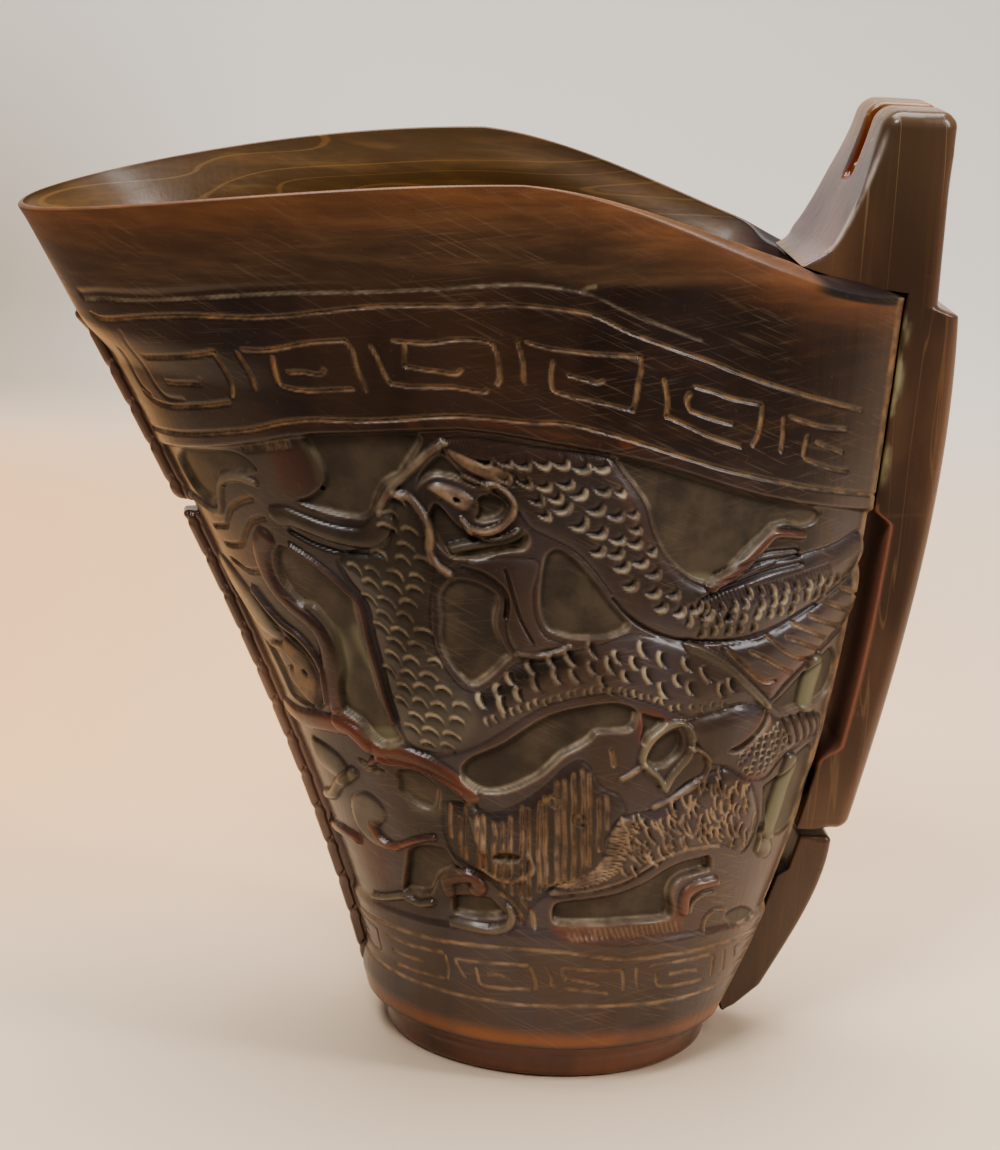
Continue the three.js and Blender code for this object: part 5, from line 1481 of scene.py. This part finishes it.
class Finish:
    """A material's node tree, with one method that adds any node."""

    def __init__(self, name, **constants):
        self.material = bpy.data.materials.new(name)
        self.material.use_nodes = True
        self.tree = self.material.node_tree
        self.shader = self.tree.nodes["Principled BSDF"]
        for socket, value in constants.items():
            self.shader.inputs[socket.replace("_", " ")].default_value = value
        self.place = self.node("TexCoord").out("Object")

    def node(self, kind, settings=None, **inputs):
        """Adds a node with its settings, and joins wires or values to its inputs."""
        node = self.tree.nodes.new("ShaderNode" + kind)
        for key, value in (settings or {}).items():
            setattr(node, key, value)
        for key, value in inputs.items():
            self.feed(node.inputs[key.replace("_", " ")], value)
        return Made(self, node)

    def feed(self, socket, value):
        """Joins a wire to a socket, or sets the socket's value."""
        if isinstance(value, Wire):
            self.tree.links.new(value.socket, socket)
        else:
            socket.default_value = value

    def mark(self, name):
        """Share of a finish, as the mesh carries it."""
        return self.node("Attribute", {"attribute_name": name}).out("Fac")

    def noise(self, scale, stretch=(1, 1, 1), detail=3.0, roughness=0.5, warp=0.0):
        """Noise over the object, with features of 1 / scale metres, squeezed by stretch."""
        place = self.node("Mapping", None, Vector=self.place, Scale=stretch).out("Vector")
        return self.node("TexNoise", None, Vector=place, Scale=scale, Detail=detail,
                         Roughness=roughness, Distortion=warp).out("Fac")

    def scratches(self, tilt):
        """Fine straight scratches that run at a tilt in degrees from the X axis, in loose groups."""
        place = self.node("Mapping", {"vector_type": "TEXTURE"}, Vector=self.place,
                          Rotation=(0, math.radians(tilt), 0), Scale=(30, 16, 1)).out("Vector")
        line = self.node("TexNoise", None, Vector=place, Scale=3600, Detail=1, Roughness=0.5).out("Fac")
        return self.band(line, 0.58, 0.72) * self.band(self.noise(50, detail=2), 0.35, 0.65)

    def blend(self, mask, low, high):
        """A colour that goes from low to high with the mask; each is a wire or three screen values."""
        inputs = (mask, *(colour(*tone) if isinstance(tone, tuple) else tone for tone in (low, high)))
        made = self.node("Mix", {"data_type": "RGBA"})
        for number, value in zip(MIX_INPUTS, inputs):
            self.feed(made.node.inputs[number], value)
        return Wire(self, made.node.outputs[MIX_OUTPUT])

    def layers(self, base, *coats):
        """Lays coats of colour over a base, one after another: each is a mask and its colour."""
        for mask, tone in coats:
            base = self.blend(mask, base, tone)
        return base

    def band(self, value, low, high):
        """Rises from 0 at low to 1 at high along an even S curve."""
        return self.node("MapRange", {"interpolation_type": "SMOOTHSTEP"}, Value=value, From_Min=low,
                         From_Max=high).out("Result")

    def up(self):
        """Height above the table in millimetres."""
        return self.node("SeparateXYZ", None, Vector=self.place).out("Z") * 1000

    def wear(self, base, roughness, height=None, distance=0.0002, coat=None):
        """Joins colour, roughness, coat and bump to the shader, and gives the material back."""
        self.feed(self.shader.inputs["Base Color"], base)
        self.feed(self.shader.inputs["Roughness"], roughness)
        if coat is not None:
            self.feed(self.shader.inputs["Coat Weight"], coat)
        if height is not None:
            bump = self.node("Bump", None, Height=height, Distance=distance, Strength=1.0)
            self.feed(self.shader.inputs["Normal"], bump.out("Normal"))
        return self.material


class Made:
    """A node in a finish, whose outputs are wires."""

    def __init__(self, finish, node):
        self.finish, self.node = finish, node

    def out(self, name):
        return Wire(self.finish, self.node.outputs[name])


class Wire:
    """A number on its way through the nodes: sums and products of wires add Math nodes."""

    def __init__(self, finish, socket):
        self.finish, self.socket = finish, socket

    def math(self, operation, *values):
        """One Math node over wires and numbers."""
        made = self.finish.node("Math", {"operation": operation})
        for k, value in enumerate(values):
            self.finish.feed(made.node.inputs[k], value)
        return Wire(self.finish, made.node.outputs[0])

    def __add__(self, other): return self.math("ADD", self, other)
    def __radd__(self, other): return self.math("ADD", other, self)
    def __sub__(self, other): return self.math("SUBTRACT", self, other)
    def __rsub__(self, other): return self.math("SUBTRACT", other, self)
    def __mul__(self, other): return self.math("MULTIPLY", self, other)
    def __rmul__(self, other): return self.math("MULTIPLY", other, self)


def dark_horn():
    """Polished dark horn: brown ground with upright fibres, golden by the rim, dust and painted shade in its
    cuts, with a painted sheen, painted highlights and a painted glow.
    """
    f = Finish("polished_dark_horn", Coat_Roughness=0.19, IOR=1.54, Specular_IOR_Level=0.3)
    cloud = f.band(f.noise(34, (1, 1, 0.45), 4, 0.55, 0.4), 0.36, 0.68)
    blot = f.band(f.noise(90, (1, 1, 0.8), 4), 0.4, 0.7)
    fibre = f.noise(850, (1, 1, 0.045), 2)
    sweep = f.noise(420, (0.16, 0.16, 1), 3, 0.6, 0.3)
    speck = f.band(f.noise(1500, detail=1), 0.68, 0.8)
    chipped = 0.3 + 0.7 * f.band(f.noise(380, detail=4), 0.36, 0.6)
    scratch = f.scratches(24) + f.scratches(-9) * 0.7
    worn, lip, rim, thin, inside = (f.mark(m) for m in ("worn", "lip", "plain_rim", "thin", "inside"))
    red, amber, pale, ground, soot = (f.mark(m) for m in ("red", "amber", "pale", "ground", "soot"))
    cut, line = f.mark("cut") * chipped, f.mark("line") * chipped
    belt = f.band(f.up(), *BELT_START)

    golden = f.blend(f.band(sweep, 0.35, 0.8), (74, 54, 40), (110, 82, 58))
    wave = f.noise(70, (0.12, 0.12, 1), 2, 0.5, 0.3)
    # painted highlight: a lilac-grey sheen on the inner wall by the ear
    highlight_by_ear = f.band(f.node("SeparateXYZ", None, Vector=f.place).out("X"), (EAR_ROOT - 12 + FOOT_X) * MM,
                    (EAR_ROOT - 2 + FOOT_X) * MM) * f.band(f.up(), 96, 110)
    lining = f.layers(
        f.blend(f.band(sweep, 0.4, 0.8), (84, 60, 34), (112, 80, 44)),
        (f.band(wave.math("SINE", wave * 64), 0.95, 1) * 0.28, (158, 118, 66)),
        (highlight_by_ear * 0.8, f.blend(cloud, (72, 58, 60), (108, 92, 94))))
    floor = f.blend(f.band(f.noise(210, detail=5), 0.35, 0.7), (65, 55, 45), (89, 76, 61))
    sand = f.blend(belt, (176, 150, 122), (174, 132, 92))
    base = f.layers(
        f.blend(cloud, (52, 41, 35), (84, 66, 55)),
        # painted reflection: a lilac-grey sheen in blots
        (blot * 0.55, (82, 74, 78)),
        # edge wear with a painted highlight
        (worn * (0.2 + 0.5 * blot), (124, 92, 76)),
        (f.band(fibre, 0.5, 0.9) * 0.3, (92, 62, 38)),
        (belt * 0.8, f.blend(cloud, (38, 23, 15), (68, 44, 28))),
        (belt * f.band(sweep, 0.5, 0.8) * 0.4, (92, 58, 34)),
        (rim * 0.85, golden),
        # painted glow of light through the thin horn by the rim
        (thin * (0.4 + 0.25 * f.band(sweep, 0.35, 0.7)), (146, 92, 54)),
        # painted glow along the lip
        (lip * (0.25 + 0.45 * cloud), (158, 96, 54)),
        (inside, lining),
        (red * (0.4 + 0.45 * blot), f.blend(cloud, (72, 26, 18), (112, 50, 34))),
        # amber is the horn's own colour, and on the bead a painted glow
        (amber * (0.25 + 0.5 * blot), f.blend(cloud, (104, 50, 26), (160, 86, 44))),
        # pale is the horn's own colour, and over the left dragon's scales a painted reflection
        (pale * (0.3 + 0.5 * blot), f.blend(cloud, (98, 90, 66), (150, 142, 110))),
        (ground, f.blend(pale * 0.8, floor, (122, 117, 90))),
        # painted shade in scoops, crevices and under edges
        (soot * 0.85, (14, 8, 6)),
        # pale cut edges, on the hollows' lower edges partly a painted highlight
        (cut, f.blend(blot, (126, 108, 86), (178, 160, 132))),
        # the dust line also carries the painted highlight along the seam
        (line, f.blend(blot, f.blend(red * 0.8, (142, 114, 86), (138, 72, 48)), sand)),
        (speck * (1 - inside) * 0.2, (120, 92, 62)),
        (scratch * (1 - inside) * 0.2, (150, 124, 98)))
    dull = 1 - (1 - ground * 0.45) * (1 - cut * 0.8) * (1 - line * 0.95) * (1 - soot * 0.6)
    rough = 0.19 + 0.14 * f.noise(160, detail=4) + 0.1 * sweep + 0.4 * dull + 0.15 * thin + 0.15 * scratch
    height = 0.5 * fibre + 0.4 * sweep * (0.3 + rim + inside) + 0.6 * f.noise(700, detail=4) * (0.15 + dull)
    return f.wear(base, rough, height, FIBRE_DEPTH, 0.2 * (1 - 0.9 * dull))


def handle_horn():
    """The handle's horn: as the cup's, with pale upright grain and reddish edges, lighter and rough in its
    recess, a painted reflection on the ear's front face and a painted highlight along its edge.
    """
    f = Finish("handle_dark_horn", Coat_Roughness=0.09, IOR=1.54, Specular_IOR_Level=0.3)
    cloud = f.band(f.noise(45, (1, 1, 0.4), 4, 0.5, 0.3), 0.35, 0.7)
    fibre = f.noise(900, (1, 1, 0.03), 2)
    vein = f.noise(330, (1, 1, 0.03), 2) - 0.5
    grain = (1 - f.band(vein, 0.0, 0.016)) * f.band(vein, -0.016, 0.0)
    tick = f.band(f.noise(240, (0.25, 0.25, 1.6), 3), 0.6, 0.75)
    crown = f.blend(grain * 0.6, f.blend(cloud, (96, 76, 56), (170, 118, 70)), (192, 160, 120))
    wax = f.mark("wax") * f.band(f.noise(300, (1, 1, 0.4), 3), 0.4, 0.6)
    arris = f.mark("arris") * f.band(f.noise(420, (1, 1, 0.3), 3), 0.35, 0.6)
    recess = f.mark("recess")
    base = f.layers(
        f.blend(cloud, (70, 50, 38), (128, 94, 68)),
        (grain * 0.35, (140, 108, 76)),
        (tick * 0.15, (134, 98, 66)),
        (f.band(fibre, 0.55, 0.9) * 0.35, (116, 84, 54)),
        (f.band(f.up(), *CROWN_START) * 0.6, crown),
        # painted reflection: a lilac-grey sheen on the ear's front face
        (f.mark("facet") * 0.75, f.blend(cloud, (88, 72, 78), (124, 102, 104))),
        (wax, (150, 142, 108)),
        (f.mark("edge") * (0.3 + 0.45 * cloud), (124, 90, 70)),
        (f.mark("slit") * 0.9, (118, 52, 16)),
        (recess * 0.95, f.blend(cloud, (138, 90, 70), (176, 128, 104))),
        # painted highlight along the ear's front edge
        (arris, (182, 166, 150)),
        ((1 - f.band(f.up(), *TAB_SHADE_END)) * 0.7, f.blend(cloud, (54, 42, 36), (92, 72, 58))))
    rough = 0.22 + 0.16 * f.noise(180, detail=4) + 0.5 * recess
    height = 0.7 * fibre + 0.3 * f.noise(600, detail=3)
    return f.wear(base, rough, height, FIBRE_DEPTH, 0.3 * (1 - recess))


def plain_horn(name, low, high, roughness, gloss=0.3, grain=0.4):
    """Plain horn between two colours, clouded and with upright fibres."""
    f = Finish(name, Coat_Weight=gloss, Coat_Roughness=0.15, IOR=1.54)
    cloud = f.band(f.noise(60, (1, 1, 0.4), 4), 0.3, 0.7)
    fibre = f.noise(1100, (1, 1, 0.04), 2)
    base = f.blend(fibre * grain + cloud * (1 - grain), low, high)
    return f.wear(base, roughness + 0.35 * grain * fibre, fibre * grain, FIBRE_DEPTH)


# Pieces

# Columns round, rows up, and the rows where a band of the wall starts or ends
NEAR_SIZE = (552, 476, (0, 164, 328, 492))
FAR_SIZE = (424, 416, (0, 216, 432))
PEG_NODES = ("handle_peg_upper", "handle_peg_middle", "handle_peg_lower", "tab_peg")


def make_walls():
    """The cup's wall, finer on the side that the photograph shows."""
    chart, horn = carved_chart(), dark_horn()
    for side_name, side, size in (("near", -1, NEAR_SIZE), ("far", 1, FAR_SIZE)):
        for panel in wall_side(f"cup_wall_{side_name}", side, chart, *size):
            finish_piece(panel, horn, "dark_horn", "cup_body")


def make_handle():
    """The board with its ear, and the lower tab, both with closer points where they turn or are cut."""
    horn = handle_horn()
    slit = SLIT_HALF / BOARD_HALF_HIGH
    heights = crowded(BOARD_BOTTOM, EAR_TOP, 230, (BOARD_BOTTOM, 36), (115, 117), (117, 118.5), (129, 134),
                      (EAR_UNDER_BACK - 0.2, EAR_UNDER_BACK + 0.6), (118.5, EAR_UNDER_FRONT), (134, 138),
                      (EAR_UNDER_FRONT, 121), (LEDGE_HEIGHT - 0.5, LEDGE_HEIGHT + 1.4), (125.5, 128.5),
                      (138.5, EAR_TOP))
    wide = crowded(-1, 1, 24, (-1, -0.88), (0.88, 1), (-slit - 0.025, -slit), (slit, slit + 0.025),
                   (-slit, slit), (slit, slit + 0.12), (-slit - 0.12, -slit))
    thick = crowded(0, 1, 20, (0, 0.1), (0.82, 1))
    board = rounded_block("handle_and_ear", board_shape, heights, thick, wide,
                          (0.35, 1.7), cut_ear, handle_marks, TOP_ROUNDING)
    finish_piece(board, horn, "handle_horn", "handle_board")
    heights = crowded(TAB_BOTTOM, TAB_TOP, 90, (TAB_BOTTOM, 5.5), (31, TAB_TOP))
    tab = rounded_block("lower_tab", tab_shape, heights, crowded(0, 1, 14, (0, 0.15), (0.75, 1)),
                        crowded(-1, 1, 14, (-1, -0.85), (0.85, 1)), (0.4, 1.0))
    finish_piece(tab, horn, "handle_horn", "handle_lower_tab")


def make_flanges():
    """Both strips down the nose, alike but for their ends."""
    horn = plain_horn("pale_horn", (66, 42, 34), (136, 100, 80), 0.22, 0.45, 0.2)
    for name, node, low, high in (("flange_upper", "front_flange_upper", FLANGE_SPLIT_TOP, FLANGE_TOP),
                                  ("flange_lower", "front_flange_lower", FLANGE_BOTTOM, FLANGE_SPLIT_BOTTOM)):
        heights = crowded(low, high, int((high - low) * 6), (low, low + 0.7), (high - 0.7, high))
        strip = rounded_block(name, flange_shape, heights, crowded(0, 1, 26, (0, 0.35)),
                              crowded(-1, 1, 12, (-1, -0.5), (0.5, 1)), (1.1, 0.3), cut_hooks)
        finish_piece(strip, horn, "pale_horn", node)


def make_foot():
    """The foot, in redder horn."""
    horn = plain_horn("red_horn", (54, 30, 22), (118, 66, 40), 0.2, 0.4, 0.08)
    finish_piece(foot_block(), horn, "red_horn", "base_block")


def finish_pegs():
    """The pegs stay the frame's own solids, in plain horn."""
    horn = plain_horn("peg_horn", (70, 52, 38), (100, 76, 55), 0.5)
    for name in PEG_NODES:
        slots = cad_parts[name].material_slots
        if slots:
            slots[0].material = horn
        else:
            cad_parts[name].data.materials.append(horn)


# Floor, light and camera

# Where the floor's paler paper, painted warm light, painted shadow and painted shade begin and end, in metres
# to the right of the foot and away behind it
FLOOR_DROP = 0.00004
PALE_FAR = (0.2, 0.6)
WARM_RIGHT, WARM_NEAR, WARM_FAR = (-0.2, 0.25), (-0.02, 0.12), (0.3, 0.5)
DUSK_RIGHT, DUSK_NEAR, DUSK_FAR = (-0.17, 0.03), (0.37, 0.47), (0.6, 1.0)
LIT_RIGHT, LIT_NEAR, LIT_FAR = (-0.2, -0.13), (-0.14, -0.06), (0.4, 0.7)


def paper_finish():
    """Pale paper with painted light and shade: a painted pool of warm light behind to the left, a painted
    shadow beyond it, and painted shade towards the camera and on the left.
    """
    f = Finish("pale_paper")
    spot = f.node("SeparateXYZ", None, Vector=f.place)
    right, away = spot.out("X"), spot.out("Y")
    paper = f.blend(f.band(away, *PALE_FAR), (228, 204, 177), (228, 219, 209))
    # painted pool of warm light behind to the left
    warm = (1 - f.band(right, *WARM_RIGHT)) * f.band(away, *WARM_NEAR) * (1 - f.band(away, *WARM_FAR))
    paper = f.blend(warm, paper, (244, 188, 130))
    # painted shadow beyond it
    dusk = (1 - f.band(right, *DUSK_RIGHT)) * f.band(away, *DUSK_NEAR) * (1 - f.band(away, *DUSK_FAR))
    paper = f.blend(dusk * 0.95, paper, (160, 142, 120))
    # painted shade towards the camera and on the left, outside the lit share
    lit = f.band(away, *LIT_NEAR) * f.band(right, *LIT_RIGHT)
    lit = 1 - (1 - lit) * (1 - f.band(away, *LIT_FAR))
    return f.wear(f.blend(lit, (112, 100, 90), paper), 0.75)


def stage_floor():
    """A wide sheet, swept along X, that curves up behind in a quarter circle."""
    turn = np.linspace(0, np.pi / 2, 13)
    profile = [(-1.5, 0.0), (0.6, 0.0)]
    profile += [(0.6 + 0.5 * np.sin(t), 0.5 - 0.5 * np.cos(t)) for t in turn[1:]]
    profile += [(1.1, 2.5)]
    points = [(x, y, z - FLOOR_DROP) for y, z in profile for x in (-3.0, 3.0)]
    floor = bpy.data.objects.new("studio_floor", bpy.data.meshes.new("studio_floor"))
    floor.data.from_pydata(points, [], grid_faces(len(profile), 2).tolist())
    floor.data.polygons.foreach_set("use_smooth", np.ones(len(floor.data.polygons), bool))
    bpy.context.scene.collection.objects.link(floor)
    floor.data.materials.append(paper_finish())


def soft_light(name, place, target, size, power):
    """A flat lamp at a place, turned to its target, with its long side level."""
    lamp = bpy.data.lights.new(name, "AREA")
    lamp.shape = "RECTANGLE"
    lamp.size, lamp.size_y = size
    lamp.energy = power
    light = bpy.data.objects.new(name, lamp)
    bpy.context.scene.collection.objects.link(light)
    back = (np.array(place) - target) / np.linalg.norm(np.array(place) - target)
    right = np.cross([0, 0, 1], back)
    right /= np.linalg.norm(right)
    up = np.cross(back, right)
    light.matrix_world = Matrix(np.column_stack([right, up, back]).tolist()).to_4x4()
    light.location = place


# Camera: place from the foot's axis in millimetres, its angles in degrees, its focal length in pixels
CAMERA_PLACE = (-50.976, -405.372, 179.272)
CAMERA_AZIMUTH = -5.666
CAMERA_PITCH = 15.102
CAMERA_ROLL = 3.394
FOCAL_PIXELS = 2901.5
PHOTO_HEIGHT = 1150
SENSOR = 36.0


def camera():
    """The photograph's camera, fitted by least squares to the ovals of the foot, the lip and the lower band,
    the corners of the ear and a few places on the rim, with the foot's and the cup's width chosen."""
    turn, pitch, roll = (math.radians(a) for a in (CAMERA_AZIMUTH, CAMERA_PITCH, CAMERA_ROLL))
    back = np.array([math.sin(turn) * math.cos(pitch), -math.cos(turn) * math.cos(pitch), math.sin(pitch)])
    right = np.array([math.cos(turn), math.sin(turn), 0])
    up = np.cross(back, right)
    c, s = math.cos(roll), math.sin(roll)
    axes = np.column_stack([c * right + s * up, c * up - s * right, back])
    lens = bpy.data.cameras.new("camera")
    lens.sensor_fit = "AUTO"
    lens.sensor_width = SENSOR
    lens.lens = FOCAL_PIXELS / PHOTO_HEIGHT * SENSOR
    lens.clip_start = 0.01
    view = bpy.data.objects.new("camera", lens)
    bpy.context.scene.collection.objects.link(view)
    view.matrix_world = Matrix(axes.tolist()).to_4x4()
    view.location = (np.array(CAMERA_PLACE) + [FOOT_X, 0, 0]) * MM
    bpy.context.scene.camera = view


make_walls()
make_handle()
make_flanges()
make_foot()
finish_pegs()

stage_floor()
soft_light("key", (-0.3, -0.5, 0.85), (0, 0, 0.07), (0.32, 0.32), 5.5)
soft_light("window", (0.55, -0.25, 0.45), (0, 0, 0.09), (0.12, 0.4), 2.5)
soft_light("ceiling", (0.0, 0.2, 1.1), (0, 0, 0.05), (1.0, 0.8), 16)
world = bpy.data.worlds.new("room")
bpy.context.scene.world = world
world.use_nodes = True
world.node_tree.nodes["Background"].inputs["Color"].default_value = (0.85, 0.88, 0.9, 1)
world.node_tree.nodes["Background"].inputs["Strength"].default_value = 0.14
bpy.context.scene.view_settings.look = "AgX - Medium High Contrast"
camera()
